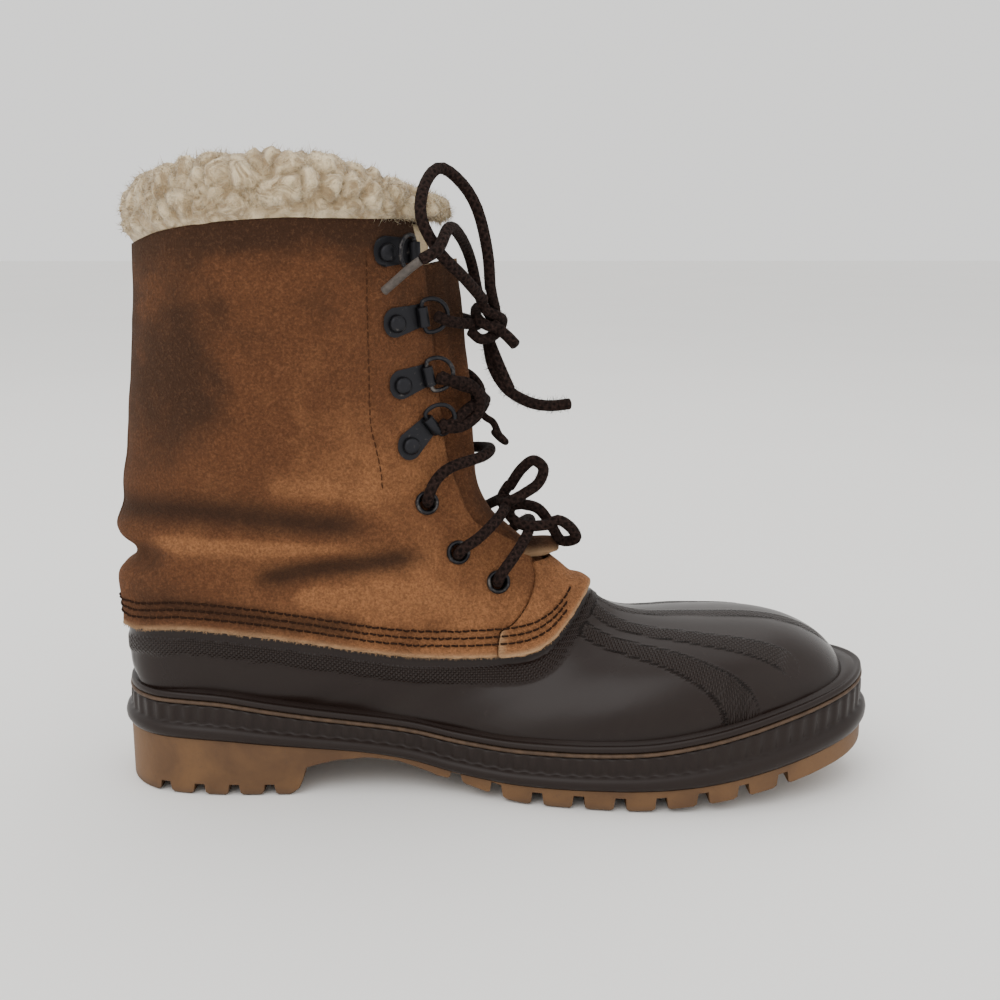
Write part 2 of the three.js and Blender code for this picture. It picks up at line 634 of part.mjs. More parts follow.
function accentStripe() {
  return outlineRing(outlineSamples, [
    { inset: sidewallWall, z: stripeBottom }, { inset: stripeInset, z: stripeBottom },
    { inset: stripeInset, z: stripeTop }, { inset: sidewallWall, z: stripeTop },
  ]);
}

function shell() {
  const rim = outlineRing(outlineSamples, [
    { inset: rimInner, z: (x) => ledgeZ(x) - rimHeight }, { inset: rimInset, z: (x) => ledgeZ(x) - rimHeight },
    { inset: rimInset, z: (x) => ledgeZ(x) - rimHeight / 2 }, { inset: rimInset + 1.2, z: ledgeZ },
    { inset: rimInner, z: ledgeZ },
  ]);
  const belowTop = belowLine(hemLine, hemHeight, shellLap);
  const body = form(-lap);
  const band = form(bandProud - lap)
    .intersect(belowLine(hemLine, hemHeight, -bandDrop))
    .intersect(aboveLine(hemLine, hemHeight, -bandDrop - bandWidth));
  let outside = body.add(rim).add(band);
  for (const rib of toeRibs) {
    outside = outside.add(form(bandProud - lap).intersect(ribRegion(rib)).intersect(belowLine(hemLine, hemHeight, -bandDrop)));
  }
  return outside.intersect(belowTop).subtract(form(-shellInside));
}

// A rib's strip seen from above, from the band to the toe
function ribRegion(rib) {
  const route = new THREE.CatmullRomCurve3(rib.map((r) => new THREE.Vector3(alongToX(r.along), r.out * ballWidth, 0)));
  const left = [];
  const right = [];
  for (let i = 0; i <= 3; i++) {
    const p = route.getPoint(i / 3);
    const t = route.getTangent(i / 3);
    left.push([p.x - t.y * ribWidth / 2, p.y + t.x * ribWidth / 2]);
    right.push([p.x + t.y * ribWidth / 2, p.y - t.x * ribWidth / 2]);
  }
  return planRegion([...left, ...right.reverse()], ribLow, high);
}

const quarterEdge = (shift) => (
  [...quarterFront, { up: vampEndUp, along: vampEndAlong }]
    .map((r) => [alongToX(r.along) + shift, r.up * shaftHeight - shift])
);
const quarterRegion = () => sideRegion([
  [rear, high], ...quarterEdge(0), [alongToX(vampEndAlong), low], [rear, low],
]);
const vampRegion = () => sideRegion([
  [fore, vampTopUp * shaftHeight], [quarterEdge(gap)[10][0], vampTopUp * shaftHeight],
  ...quarterEdge(gap).filter(([, z]) => z < vampTopUp * shaftHeight),
  [alongToX(vampEndAlong) + gap, low], [fore, low],
]);

function upper() {
  let quarters = layer(0, suedeWall)
    .intersect(quarterRegion())
    .intersect(belowLine(collarLine, shaftHeight, 0))
    .intersect(aboveLine(hemLine, hemHeight, 0));
  for (const side of [-1, 1]) {
    for (const row of eyeletSeats) {
      quarters = quarters.subtract(post(eyeletHole + eyeletWall + 2 * gap, 12, seat(row, side), eyeletSides));
    }
  }
  return quarters;
}

function vamp() {
  const strip = sideRegion([
    [alongToX(vampEndAlong) + gap, low], [alongToX(0.56), low], [alongToX(0.56), 0.31 * shaftHeight],
    [alongToX(vampEndAlong) + gap, vampEndUp * shaftHeight],
  ]);
  const raised = layer(-vampProud, suedeWall).intersect(strip).intersect(vampRegion());
  return layer(0, suedeWall).intersect(vampRegion()).add(raised).intersect(aboveLine(hemLine, hemHeight, 0));
}

// The tongue follows the form's own columns, tucked behind the quarters, and bulges between them
function tongue() {
  const centre = around / 2;
  const offset = (i, column, inside) => (
    formRows[i][column].clone().addScaledVector(formNormals[i][column], -inside)
  );
  const point = (i, step, inside) => {
    const column = Math.floor(centre + step.at);
    const p = offset(i, column, inside).lerp(offset(i, column + 1, inside), centre + step.at - column);
    p.x += step.bulge * tongueBulge * tongueBulges[i];
    return p;
  };
  const rows = tongueBulges.map((_, i) => {
    const outside = [];
    const inside = [];
    for (const step of tongueSteps) {
      outside.push(point(i, step, lap));
      inside.push(point(i, step, lap + tongueWall));
    }
    return [...outside, ...inside.reverse()];
  });
  const sheet = sheetSolid(rows);
  return sheet
    .intersect(sideRegion([[rear, low], [fore, low], [fore, tongueTop], [rear, tongueTop]]))
    .intersect(aboveLine(hemLine, hemHeight, shellLap + gap))
    .add(throatTab());
}

// The stiff tab that closes the foot of the throat
function throatTab() {
  const half = tabWidth / 2;
  const top = tabHeight + tongueWall;
  const slab = planRegion([[tabBack, -half], [tabFront - half / 2, -half], [tabFront, -half / 2],
    [tabFront, half / 2], [tabFront - half / 2, half], [tabBack, half]], tabHeight, top);
  const neck = planRegion([[tabBack, -tabNeck], [tabFront, -tabNeck], [tabFront, tabNeck], [tabBack, tabNeck]],
    tabHeight, top).subtract(form(-lap - tongueWall / 2));
  return slab.subtract(form(gap)).add(neck);
}

// A thin sheet: each row runs out along one face and back along the other
function sheetSolid(rows) {
  const count = rows[0].length;
  const points = rows.flat();
  const triangles = [];
  rows.slice(1).forEach((_, i) => {
    for (let j = 0; j < count; j++) {
      const k = (j + 1) % count;
      const here = i * count;
      triangles.push([here + j, here + k, here + count + k], [here + j, here + count + k, here + count + j]);
    }
  });
  for (const [row, flip] of [[0, true], [rows.length - 1, false]]) {
    const base = row * count;
    for (let j = 0; j < count / 2 - 1; j++) {
      const a = base + j;
      const b = base + j + 1;
      const c = base + count - 2 - j;
      const d = base + count - 1 - j;
      triangles.push(...(flip ? [[a, c, b], [a, d, c]] : [[a, b, c], [a, c, d]]));
    }
  }
  return closedSolid(points, triangles);
}

function liner() {
  return form(-linerOutside).subtract(form(-linerInside, 2))
    .intersect(belowLine(collarLine, shaftHeight, 0));
}

function fleeceCuff() {
  const roll = form(cuffProud).subtract(form(-linerOutside - fleecePile))
    .intersect(belowLine(cuffLine, cuffTop, 0))
    .intersect(aboveLine(collarLine, shaftHeight, gap));
  return fleeceLocks().reduce((sum, lock) => sum.add(lock), roll)
    .subtract(form(-linerOutside - fleecePile))
    .intersect(aboveLine(collarLine, shaftHeight, gap));
}

// Tufts of pile sunk in the cuff's outer face and its top
function fleeceLocks() {
  const middle = form(-linerOutside - fleecePile / 2);
  const skinMesh = new THREE.Mesh(geometryFromSolid(middle), new THREE.MeshStandardMaterial());
  const centre = new THREE.Vector3(shaftWidth / 4, 0, cuffTop);
  return Array.from({ length: lockCount }, (_, k) => {
    const turn = (2 * Math.PI * k) / lockCount;
    const way = new THREE.Vector3(Math.cos(turn), Math.sin(turn), 0);
    const top = cuffTop * lockLevel;
    const from = new THREE.Vector3(centre.x, 0, top).addScaledVector(way, 2 * shaftWidth);
    const hit = new THREE.Raycaster(from, way.clone().negate()).intersectObject(skinMesh)[0];
    const place = hit.point.addScaledVector(way, (k % 2) * lockSpread);
    place.z = cuffTop * tableValue(cuffLine, 'along', 'up', xToAlong(place.x)) - (k % 3) * lockSpread;
    const lock = new THREE.IcosahedronGeometry(lockRadius * (1 + 0.15 * Math.cos(5 * turn)), 0);
    lock.rotateX(turn * 3).translate(place.x, place.y, place.z);
    return solidFromGeometry(lock);
  });
}

// Hardware. A seat's frame lies on the suede: its X runs forward with the tilt given, its Z out.
const skin = new THREE.Mesh(geometryFromSolid(form(0)), new THREE.MeshStandardMaterial());
skin.material.side = THREE.DoubleSide;
const metalLayer = form(gap + plateThickness).subtract(form(gap));

function frameAt(hit, forward) {
  const normal = hit.face.normal.clone();
  const ahead = forward.clone().addScaledVector(normal, -forward.dot(normal)).normalize();
  return new THREE.Matrix4().makeBasis(ahead, normal.clone().cross(ahead), normal).setPosition(hit.point);
}
function seat(row, side) {
  const from = new THREE.Vector3(alongToX(row.along), 2 * side * across, row.up * shaftHeight);
  const hit = new THREE.Raycaster(from, new THREE.Vector3(0, -side, 0)).intersectObject(skin)[0];
  const tilt = THREE.MathUtils.degToRad(row.tilt ?? 0);
  return frameAt(hit, new THREE.Vector3(Math.cos(tilt), 0, Math.sin(tilt)));
}
// The ring's pivot, a clip's length ahead of the rivet, over the suede there
function pivotFrame(rivetFrame) {
  const ahead = new THREE.Vector3().setFromMatrixColumn(rivetFrame, 0);
  const normal = new THREE.Vector3().setFromMatrixColumn(rivetFrame, 2);
  const over = new THREE.Vector3(pivotReach, 0, 3 * ringReach).applyMatrix4(rivetFrame);
  const hit = new THREE.Raycaster(over, normal.negate()).intersectObject(skin)[0];
  const frame = frameAt(hit, ahead);
  return frame.multiply(new THREE.Matrix4().makeTranslation(0, 0, gap + barrelRadius));
}

function cylinder(radius, length, frame, sides) {
  const rod = new THREE.CylinderGeometry(radius, radius, length, sides);
  return solidFromGeometry(rod.applyMatrix4(frame));
}
const alongZ = new THREE.Matrix4().makeRotationX(Math.PI / 2);
const post = (radius, length, frame, sides) => cylinder(radius, length, frame.clone().multiply(alongZ), sides);

function clip(rivetFrame) {
  const half = plateWidth / 2;
  const outline = new THREE.Shape();
  outline.moveTo(pivotReach, -plateFront / 2);
  outline.lineTo(pivotReach, plateFront / 2);
  outline.lineTo(half * 0.4, half);
  for (let k = 1; k < 6; k++) {
    const turn = Math.PI / 2 + (k * Math.PI) / 6;
    outline.lineTo(half * 1.15 * Math.cos(turn), half * Math.sin(turn));
  }
  outline.lineTo(half * 0.4, -half);
  const blank = new THREE.ExtrudeGeometry(outline, { depth: 16, bevelEnabled: false });
  blank.translate(0, 0, -8);
  const plate = solidFromGeometry(blank.applyMatrix4(rivetFrame)).intersect(metalLayer);
  const pivot = pivotFrame(rivetFrame);
  const barrel = cylinder(barrelRadius, barrelWidth, pivot, 8);
  return plate.add(barrel).subtract(cylinder(ringWire / 2 + ringClearance, 4 * barrelWidth, pivot, 8));
}

function rivet(rivetFrame) {
  const top = gap + plateThickness + gap;
  const dome = [[0, -6], [rivetRadius, -6], [rivetRadius, top + rivetHeight * 0.35],
    [rivetRadius * 0.72, top + rivetHeight * 0.8], [0, top + rivetHeight]];
  const turned = new THREE.LatheGeometry(dome.map(([r, z]) => new THREE.Vector2(r, z)), 10);
  return solidFromGeometry(turned.applyMatrix4(rivetFrame.clone().multiply(alongZ)))
    .subtract(form(top));
}

// A D ring: its straight bar lies in the barrel, and open is how far it stands up from the suede
function dRing(rivetFrame, open) {
  const half = ringWidth / 2 - ringWire / 2;
  const route = [[0, -half * 0.5], [0, half * 0.5], [ringWire * 0.35, half * 0.9]];
  for (let k = 0; k <= 6; k++) {
    const turn = Math.PI / 2 - (k * Math.PI) / 6;
    route.push([ringReach * 0.3 + (ringReach * 0.7 - ringWire / 2) * Math.cos(turn), half * Math.sin(turn)]);
  }
  route.push([ringWire * 0.35, -half * 0.9]);
  const rows = route.map(([x, y], i) => {
    const [x1, y1] = route[(i + route.length - 1) % route.length];
    const [x2, y2] = route[(i + 1) % route.length];
    const out = new THREE.Vector3(y1 - y2, x2 - x1, 0).normalize();
    return Array.from({ length: 6 }, (_, k) => {
      const turn = (k * Math.PI) / 3;
      return new THREE.Vector3(x, y, (ringWire / 2) * Math.sin(turn))
        .addScaledVector(out, (ringWire / 2) * Math.cos(turn));
    });
  });
  const place = pivotFrame(rivetFrame).multiply(new THREE.Matrix4().makeRotationY(-THREE.MathUtils.degToRad(open)));
  rows.flat().forEach((p) => p.applyMatrix4(place));
  return rowsSolid(rows, { joined: true });
}

function eyelet(frame) {
  const sleeve = eyeletHole + eyeletWall;
  const low = -suedeWall * 0.6;
  const flange = gap + eyeletLift;
  const section = [[eyeletHole, low], [sleeve, low], [sleeve, flange], [eyeletFlange, flange],
    [eyeletFlange, flange + eyeletWall], [eyeletHole, flange + eyeletWall], [eyeletHole, low]];
  const turned = new THREE.LatheGeometry(section.map(([r, z]) => new THREE.Vector2(r, z)), eyeletSides);
  const place = frame.clone().multiply(new THREE.Matrix4().makeRotationX(Math.PI / 2));
  return solidFromGeometry(turned.applyMatrix4(place));
}

// A round cord along points chosen by hand
function cord(points, steps, diameter = laceDiameter) {
  const route = new THREE.CatmullRomCurve3(points.map(([x, y, z]) => new THREE.Vector3(x, y, z)), false, 'centripetal');
  const section = new THREE.Shape();
  for (let k = 0; k < laceSides; k++) {
    const turn = (2 * k * Math.PI) / laceSides;
    const [x, y] = [(diameter / 2) * Math.cos(turn), (diameter / 2) * Math.sin(turn)];
    if (k === 0) section.moveTo(x, y);
    else section.lineTo(x, y);
  }
  return solidFromGeometry(new THREE.ExtrudeGeometry(section, { steps, extrudePath: route, bevelEnabled: false }));
}

// Assembly
const group = new THREE.Group();
function add(name, solid, colour, roughness, metalness = 0) {
  const material = new THREE.MeshStandardMaterial({ color: colour, roughness, metalness });
  const mesh = new THREE.Mesh(geometryFromSolid(mainBody(solid)), material);
  mesh.name = name;
  group.add(mesh);
}
add('outsole', outsole(), 0x9a6a3c, 0.7);
add('sidewall', sidewall(), 0x2b211d, 0.45);
add('accent_stripe', accentStripe(), 0x9a6a3c, 0.7);
add('shell', shell(), 0x2d201b, 0.35);
add('upper', upper(), 0x8a5a34, 0.95);
add('vamp', vamp(), 0x9a6439, 0.95);
add('tongue', tongue(), 0x85522d, 0.95);
add('liner', liner(), 0xb8a88c, 1);
add('fleece_cuff', fleeceCuff(), 0xd8cdb8, 1);
for (const [name, side] of [['inner', -1], ['outer', 1]]) {
  ringSeats.forEach((row, i) => {
    const frame = seat(row, side);
    add(`clip_${name}_${i + 1}`, clip(frame), 0x1c1c1e, 0.45, 0.8);
    add(`rivet_${name}_${i + 1}`, rivet(frame), 0x1c1c1e, 0.4, 0.8);
    add(`ring_${name}_${i + 1}`, dRing(frame, row.open), 0x1c1c1e, 0.35, 0.9);
  });
  eyeletSeats.forEach((row, i) => add(`eyelet_${name}_${i + 1}`, eyelet(seat(row, side)), 0x1c1c1e, 0.4, 0.8));
}
for (const [name, points] of Object.entries({ ...laceBars, ...laceCords })) {
  add(name, cord(points, points.length), 0x241915, 1);
}
const knot = laceKnot.map((points) => cord(points, points.length)).reduce((a, b) => a.add(b));
add('lace_knot', knot, 0x241915, 1);
for (const [name, points] of Object.entries(laceAglets)) add(name, cord(points, 1, agletDiameter), 0x5a5550, 0.6);

export default group;
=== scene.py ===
"""A left winter pac boot: gum outsole, dark rubber shell, laced suede shaft, felt liner and fleece cuff."""
import math
import random

import bmesh
import bpy
import numpy as np
from mathutils import Matrix, Vector, noise


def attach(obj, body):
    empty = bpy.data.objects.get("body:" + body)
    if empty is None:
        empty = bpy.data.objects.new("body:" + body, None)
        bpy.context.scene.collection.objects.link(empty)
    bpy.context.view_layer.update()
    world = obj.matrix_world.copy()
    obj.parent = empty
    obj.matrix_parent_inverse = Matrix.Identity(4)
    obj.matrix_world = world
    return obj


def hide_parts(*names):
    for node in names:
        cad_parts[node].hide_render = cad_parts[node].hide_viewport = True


bl_info = {
    "name": "Winter Pac Boot",
    "version": (1, 0, 0),
    "blender": (4, 5, 0),
    "location": "View3D > Sidebar > Pac Boot",
    "description": "Builds a laced winter pac boot with its rubber shell, suede shaft and fleece cuff",
    "category": "Add Mesh",
}

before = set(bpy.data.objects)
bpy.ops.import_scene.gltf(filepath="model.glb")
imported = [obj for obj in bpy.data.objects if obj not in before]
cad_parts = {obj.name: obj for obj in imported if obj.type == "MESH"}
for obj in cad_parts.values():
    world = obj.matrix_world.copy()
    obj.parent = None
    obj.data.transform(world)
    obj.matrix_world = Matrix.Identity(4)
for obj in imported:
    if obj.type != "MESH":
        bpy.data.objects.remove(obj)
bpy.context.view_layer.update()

# Sizes of the boot, in metres
SOLE_LENGTH = 0.316
BALL_WIDTH = 0.115
HEEL_BEHIND = 0.042
SHAFT_HEIGHT = 0.233
ANKLE_HEIGHT = 0.098
SHAFT_WIDTH = 0.097
TOE_HEIGHT = 0.0675
INSTEP_HEIGHT = 0.107
HEEL_STACK = 0.025
SIDEWALL_HEIGHT = 0.020
SIDEWALL_WALL = 0.004
TOE_SPRING = 0.017
RUBBER_WALL = 0.0026
SUEDE_WALL = 0.002
FELT_WALL = 0.005
TONGUE_WALL = 0.0018
GAP = 0.0003
HEM_HEIGHT = 0.0685
SHELL_LAP = 0.011
SHELL_EASE = 0.0015
CLAMP_RISE = 0.001
CLAMP_FREE = 0.03
RIM_HEIGHT = 0.0031
STRIPE_HEIGHT = 0.0016
BAND_PROUD = 0.0007
BAND_DROP = 0.0045
BAND_WIDTH = 0.0065
RIB_WIDTH = 0.0085
KNURL_PITCH = 0.002
BAND_EDGE = 0.0009
STITCH_ROWS = (0.0052, 0.0082, 0.0112)
STITCH_RADIUS = 0.00044
FACING_STITCH_RADIUS = 0.00028
FACING_X = 0.0665
FLEECE_HAIR = 0.00014
FRINGE_HAIR = 0.00014
LACE_HAIR = 0.00007
EYELET_CUT = 0.0038
NOTCH_EDGE = 0.00035
HEEL_NOTCH_DEPTH = 0.0042
LUG_NOTCH_DEPTH = 0.0052
LUG_PITCH = 0.0166
TAB_THICKNESS = 0.0024
RIVET_BASE = 0.0013
STAY_WIDTH = 0.0105
TOE_SHIFT = 0.03
TONGUE_BULGE = 0.009
TONGUE_TOP = 0.218
CUFF_TOP = 0.256
CUFF_RISE = 0.0235
CUFF_ROWS = 64
CUFF_COLUMNS = 361
CUFF_HAIRS = 15000
NOISE_SEED = 1
LAP = SUEDE_WALL + GAP
LINER_OUTSIDE = LAP + RUBBER_WALL + 0.0005
FORM_INSET = SIDEWALL_WALL + GAP - LAP + SHELL_EASE
LACE_DIAMETER = 0.0046
AROUND = 20

# Outline of the sole from above: (share of the length, share of the ball width)
INNER_OUTLINE = [
    (0.015, 0.165), (0.05, 0.27), (0.11, 0.32), (0.2, 0.33), (0.3, 0.314), (0.39, 0.312), (0.46, 0.35),
    (0.54, 0.418), (0.62, 0.464), (0.71, 0.488), (0.79, 0.48), (0.86, 0.436), (0.92, 0.365), (0.965, 0.275),
    (0.991, 0.165),
]
OUTER_OUTLINE = [
    (0.015, 0.165), (0.05, 0.27), (0.11, 0.325), (0.2, 0.342), (0.3, 0.352), (0.4, 0.392), (0.49, 0.448),
    (0.58, 0.497), (0.66, 0.508), (0.74, 0.488), (0.82, 0.432), (0.89, 0.345), (0.945, 0.24), (0.982, 0.125),
]
# (along, gum edge as a share of the heel stack, dark band as a share of its height at the ball)
SOLE_PROFILE = [
    (0, 1, 0.95), (0.13, 0.97, 0.97), (0.2, 0.89, 0.9), (0.27, 0.8, 0.82), (0.33, 0.715, 0.79),
    (0.39, 0.58, 0.82), (0.445, 0.42, 0.87), (0.5, 0.34, 0.9), (0.56, 0.325, 0.92), (0.63, 0.34, 0.93),
    (0.7, 0.37, 0.97), (0.765, 0.45, 1.05), (0.82, 0.56, 1.11), (0.87, 0.68, 1.15), (1, 1.02, 1.18),
]
# (back along, back up, front along, front up, back round, front round), up from the ankle to the collar
SHAFT_SECTIONS = [
    (0.048, 1.22, 0.42, 1.22, 2.2, 1.9), (0.042, 0.96, 0.431, 1, 2.2, 1.8), (0.035, 0.72, 0.437, 0.78, 2.2, 1.75),
    (0.028, 0.52, 0.442, 0.59, 2.2, 1.75), (0.016, 0.34, 0.452, 0.43, 2.3, 1.8),
    (0.003, 0.19, 0.464, 0.3, 2.5, 1.85), (-0.003, 0.08, 0.48, 0.2, 2.6, 1.9), (0.009, 0, 0.5, 0.125, 2.7, 2),
]
# The same for the heel, up as a share of the ankle's height behind and the instep's in front
HEEL_SECTIONS = [
    (-0.004, 0.9, 0.525, 1, 2.9, 2), (0, 0.73, 0.554, 0.916, 3.2, 2.05), (0.004, 0.49, 0.585, 0.832, 3.5, 2.1),
    (0.014, 0.415, 0.602, 0.79, 4, 2.1),
]
# (back along, front along, front up as a share of the toe's height, front round)
FOOT_SECTIONS = [
    (0.038, 0.618, 1.2, 2.1), (0.155, 0.64, 1.11, 2.1), (0.266, 0.665, 1.042, 2.15), (0.377, 0.693, 1.008, 2.2),
    (0.472, 0.722, 1, 2.3), (0.566, 0.757, 1, 2.4), (0.646, 0.797, 1, 2.4), (0.725, 0.838, 0.998, 2.4),
    (0.797, 0.877, 0.98, 2.4), (0.858, 0.911, 0.94, 2.4), (0.905, 0.943, 0.865, 2.4), (0.94, 0.966, 0.77, 2.4),
    (0.96, 0.979, 0.66, 2.4),
]
FOOT_BOTTOM_ROUND = 5
SHAFT_WIDEST = 0.43
FOOT_WIDEST = 0.27
SHAFT_WIDTHS = [(0.05, 0.352), (0.18, 0.37), (0.36, 0.415), (0.57, 0.458), (0.8, 0.485), (1.22, 0.5)]
COLLAR_LINE = [
    (-0.1, 0.955), (0.041, 0.962), (0.1, 0.983), (0.17, 0.997), (0.28, 1.005), (0.4, 1.002), (0.6, 0.995),
]
HEM_LINE = [
    (-0.1, 1), (0.03, 1.005), (0.1, 1.03), (0.2, 0.985), (0.265, 0.937), (0.38, 0.848), (0.44, 0.827),
    (0.5, 0.826), (0.545, 0.845), (0.575, 0.91), (0.603, 1.045), (0.63, 1.2), (0.68, 1.5),
]
# (up as a share of the shaft's height, along), the front edge of the quarters from below
QUARTER_FRONT = [
    (0.2, 0.503), (0.285, 0.506), (0.3, 0.524), (0.336, 0.544), (0.379, 0.553), (0.421, 0.5396), (0.454, 0.503),
    (0.479, 0.4725), (0.54, 0.451), (0.598, 0.437), (0.685, 0.429), (0.776, 0.422), (0.924, 0.411),
    (1.002, 0.397), (1.2, 0.39),
]
CUFF_LINE = [
    (-0.1, 0.955), (0.04, 0.965), (0.1, 0.984), (0.19, 0.997), (0.27, 1), (0.36, 0.975), (0.42, 0.945),
    (0.6, 0.93),
]
TONGUE_STEPS = [(-2.6, 0), (-1.6, 0), (-1.05, 0.02), (-0.65, 0.65), (-0.25, 0.96), (0, 1), (0.25, 0.96),
                (0.65, 0.65), (1.05, 0.02), (1.6, 0), (2.6, 0)]
TONGUE_BULGES = [0.7, 0.75, 0.9, 1, 0.85, 0.5, 0.1, 0, 0, 0, 0]
# Ribs over the toe: (along, out) from the band forward
TOE_RIBS = [
    [(0.6, 0), (0.78, -0.02), (0.955, -0.03)], [(0.62, -0.06), (0.74, -0.2), (0.88, -0.3)],
    [(0.62, -0.15), (0.73, -0.31), (0.83, -0.44)], [(0.62, 0.06), (0.73, 0.17), (0.86, 0.24)],
    [(0.62, 0.15), (0.71, 0.3), (0.79, 0.42)],
]
# Tread: the heel's front face, (share of the way ahead, share of the arch's height), and the waist
BREAST = [(0.12, 0.0), (0.36, 0.14), (0.5, 0.42), (0.58, 0.74), (1.0, 0.84)]
SHANK = [(0.29, 0.93), (0.33, 1.0), (0.37, 0.9)]
HEEL_LENGTH = 0.225
ARCH_HEIGHT = 0.0153
ARCH_WALL = 0.0016
BREAST_REACH = 0.014
FOREFOOT_START = 0.42
FOREFOOT_FLAT = 0.545
FOREFOOT_RAMP = 0.0085
SPRING_START = 0.675
NOTCH_WIDTH = 0.0046
NOTCH_REACH = 0.021
LUG_ROUND = 0.0015
HEEL_NOTCHES = [0.0204 + 0.0146 * n for n in range(4)]
LUG_NOTCHES = [0.1414 + LUG_PITCH * n for n in range(9)]

# Creases of the suede in the side view, in metres: points, half width, depth, painted shade (negative: painted
# highlight on a ridge)
CREASES = [
    ([(-0.052, 0.0985), (-0.035, 0.0985), (-0.012, 0.101)], 0.0050, 0.0042, 0.6),
    ([(-0.046, 0.1185), (-0.03, 0.1192), (0.0, 0.119), (0.025, 0.116), (0.052, 0.113), (0.072, 0.1115)],
     0.0088, 0.0030, 1.0),
    ([(0.014, 0.0895), (0.0316, 0.0933), (0.051, 0.096), (0.068, 0.0973), (0.0947, 0.1)], 0.0058, 0.0034, 1.1),
    ([(-0.03, 0.083), (0.0, 0.079), (0.03, 0.0735), (0.07, 0.0705)], 0.0062, 0.0006, 0.6),
    ([(-0.045, 0.135), (-0.02, 0.142), (0.0, 0.155)], 0.012, 0.0014, 0.4),
    ([(-0.03, 0.1065), (0.0, 0.106), (0.04, 0.1045), (0.07, 0.105)], 0.0055, -0.0016, -0.5),
    ([(0.03, 0.0845), (0.0776, 0.0815), (0.1096, 0.079)], 0.0065, -0.0012, -0.6),
    ([(0.02, 0.13), (0.05, 0.127), (0.08, 0.122)], 0.009, -0.0010, -0.3),
]

# Seats of the metal, in mm: place, way ahead, normal
RING_SEATS = {
    "inner_1": (168, (73.656, -30.348, 220.884), (0.826, 0.564, 0.007), (0.564, -0.826, -0.01),
                (84.531, -24.721, 220.982), (0.657, 0.754, 0.007), (0.754, -0.657, 0.002)),
    "inner_2": (32, (76.816, -27.603, 193.623), (0.829, 0.531, 0.178), (0.543, -0.84, -0.021),
                (87.381, -21.783, 195.769), (0.644, 0.744, 0.177), (0.753, -0.658, 0.026)),
    "inner_3": (32, (78.712, -25.852, 169.158), (0.835, 0.496, 0.237), (0.509, -0.86, 0.006),
                (89.282, -20.403, 172.094), (0.66, 0.718, 0.221), (0.72, -0.689, 0.086)),
    "inner_4": (32, (81.556, -24.134, 144.693), (0.676, 0.355, 0.646), (0.461, -0.888, 0.007),
                (90.505, -20.815, 152.415), (0.51, 0.577, 0.638), (0.676, -0.727, 0.117)),
    "outer_1": (168, (73.656, 30.112, 220.884), (0.84, -0.542, 0.008), (0.542, 0.84, -0.012),
                (84.61, 24.372, 220.997), (0.627, -0.779, 0.007), (0.779, 0.627, 0.004)),
    "outer_2": (32, (76.816, 27.393, 193.623), (0.848, -0.5, 0.174), (0.511, 0.859, -0.023),
                (87.407, 21.461, 195.673), (0.646, -0.741, 0.184), (0.754, 0.657, -0.002)),
    "outer_3": (32, (78.712, 25.575, 169.158), (0.863, -0.448, 0.234), (0.461, 0.887, -0.002),
                (89.371, 20.011, 171.967), (0.664, -0.711, 0.232), (0.723, 0.689, 0.044)),
    "outer_4": (32, (81.556, 23.819, 144.693), (0.703, -0.314, 0.638), (0.411, 0.912, -0.005),
                (90.675, 20.457, 152.198), (0.528, -0.549, 0.648), (0.683, 0.728, 0.061)),
}
EYELET_SEATS = {
    "inner_1": ((87.876, -22.436, 120.694), (0.939, 0.333, -0.086), (0.343, -0.91, 0.234)),
    "inner_2": ((100.516, -22.832, 99.957), (0.957, 0.279, -0.075), (0.288, -0.925, 0.247)),
    "inner_3": ((116.948, -21.084, 86.909), (0.966, 0.252, -0.059), (0.259, -0.941, 0.218)),
    "outer_1": ((87.876, 22.372, 120.694), (0.937, -0.34, -0.077), (0.348, 0.914, 0.206)),
    "outer_2": ((100.516, 23.5, 99.957), (0.963, -0.26, -0.064), (0.268, 0.936, 0.229)),
    "outer_3": ((116.948, 21.864, 86.909), (0.972, -0.23, -0.047), (0.235, 0.952, 0.196)),
}
PLATE_WIDTH = 0.0105
PLATE_FRONT = 0.0084
PLATE_THICKNESS = 0.0011
RIVET_RADIUS = 0.0036
RING_WIRE = 0.0018
RING_WIDTH = 0.015
RING_REACH = 0.011
BARREL_RADIUS = RING_WIRE / 2 + 0.0014
BARREL_WIDTH = 0.008
EYELET_HOLE = 0.0031
EYELET_FLANGE = 0.005

# Camera, floor and lights; each light has its name, place, size and power
SENSOR_WIDTH = 36
LENS = 46
CAMERA_PLACE = (0.1123, -0.5308, 0.2313)
CAMERA_TARGET = (0.118, 0.0, 0.117)
FLOOR_SIZE = 8
FLOOR_COLOURS = ((0.87, 0.86, 0.84, 1), (0.91, 0.9, 0.88, 1))
WORLD_COLOUR = (0.93, 0.925, 0.91, 1)
WORLD_STRENGTH = 1.35
LIGHT_TARGET = (0.1, 0, 0.1)
LIGHTS = [("Key", (-0.5, -0.9, 1.3), 1.2, 10), ("Fill", (1.3, -0.6, 0.9), 1.4, 1.8), ("Top", (0.1, 0.5, 1.6), 1.6, 7)]

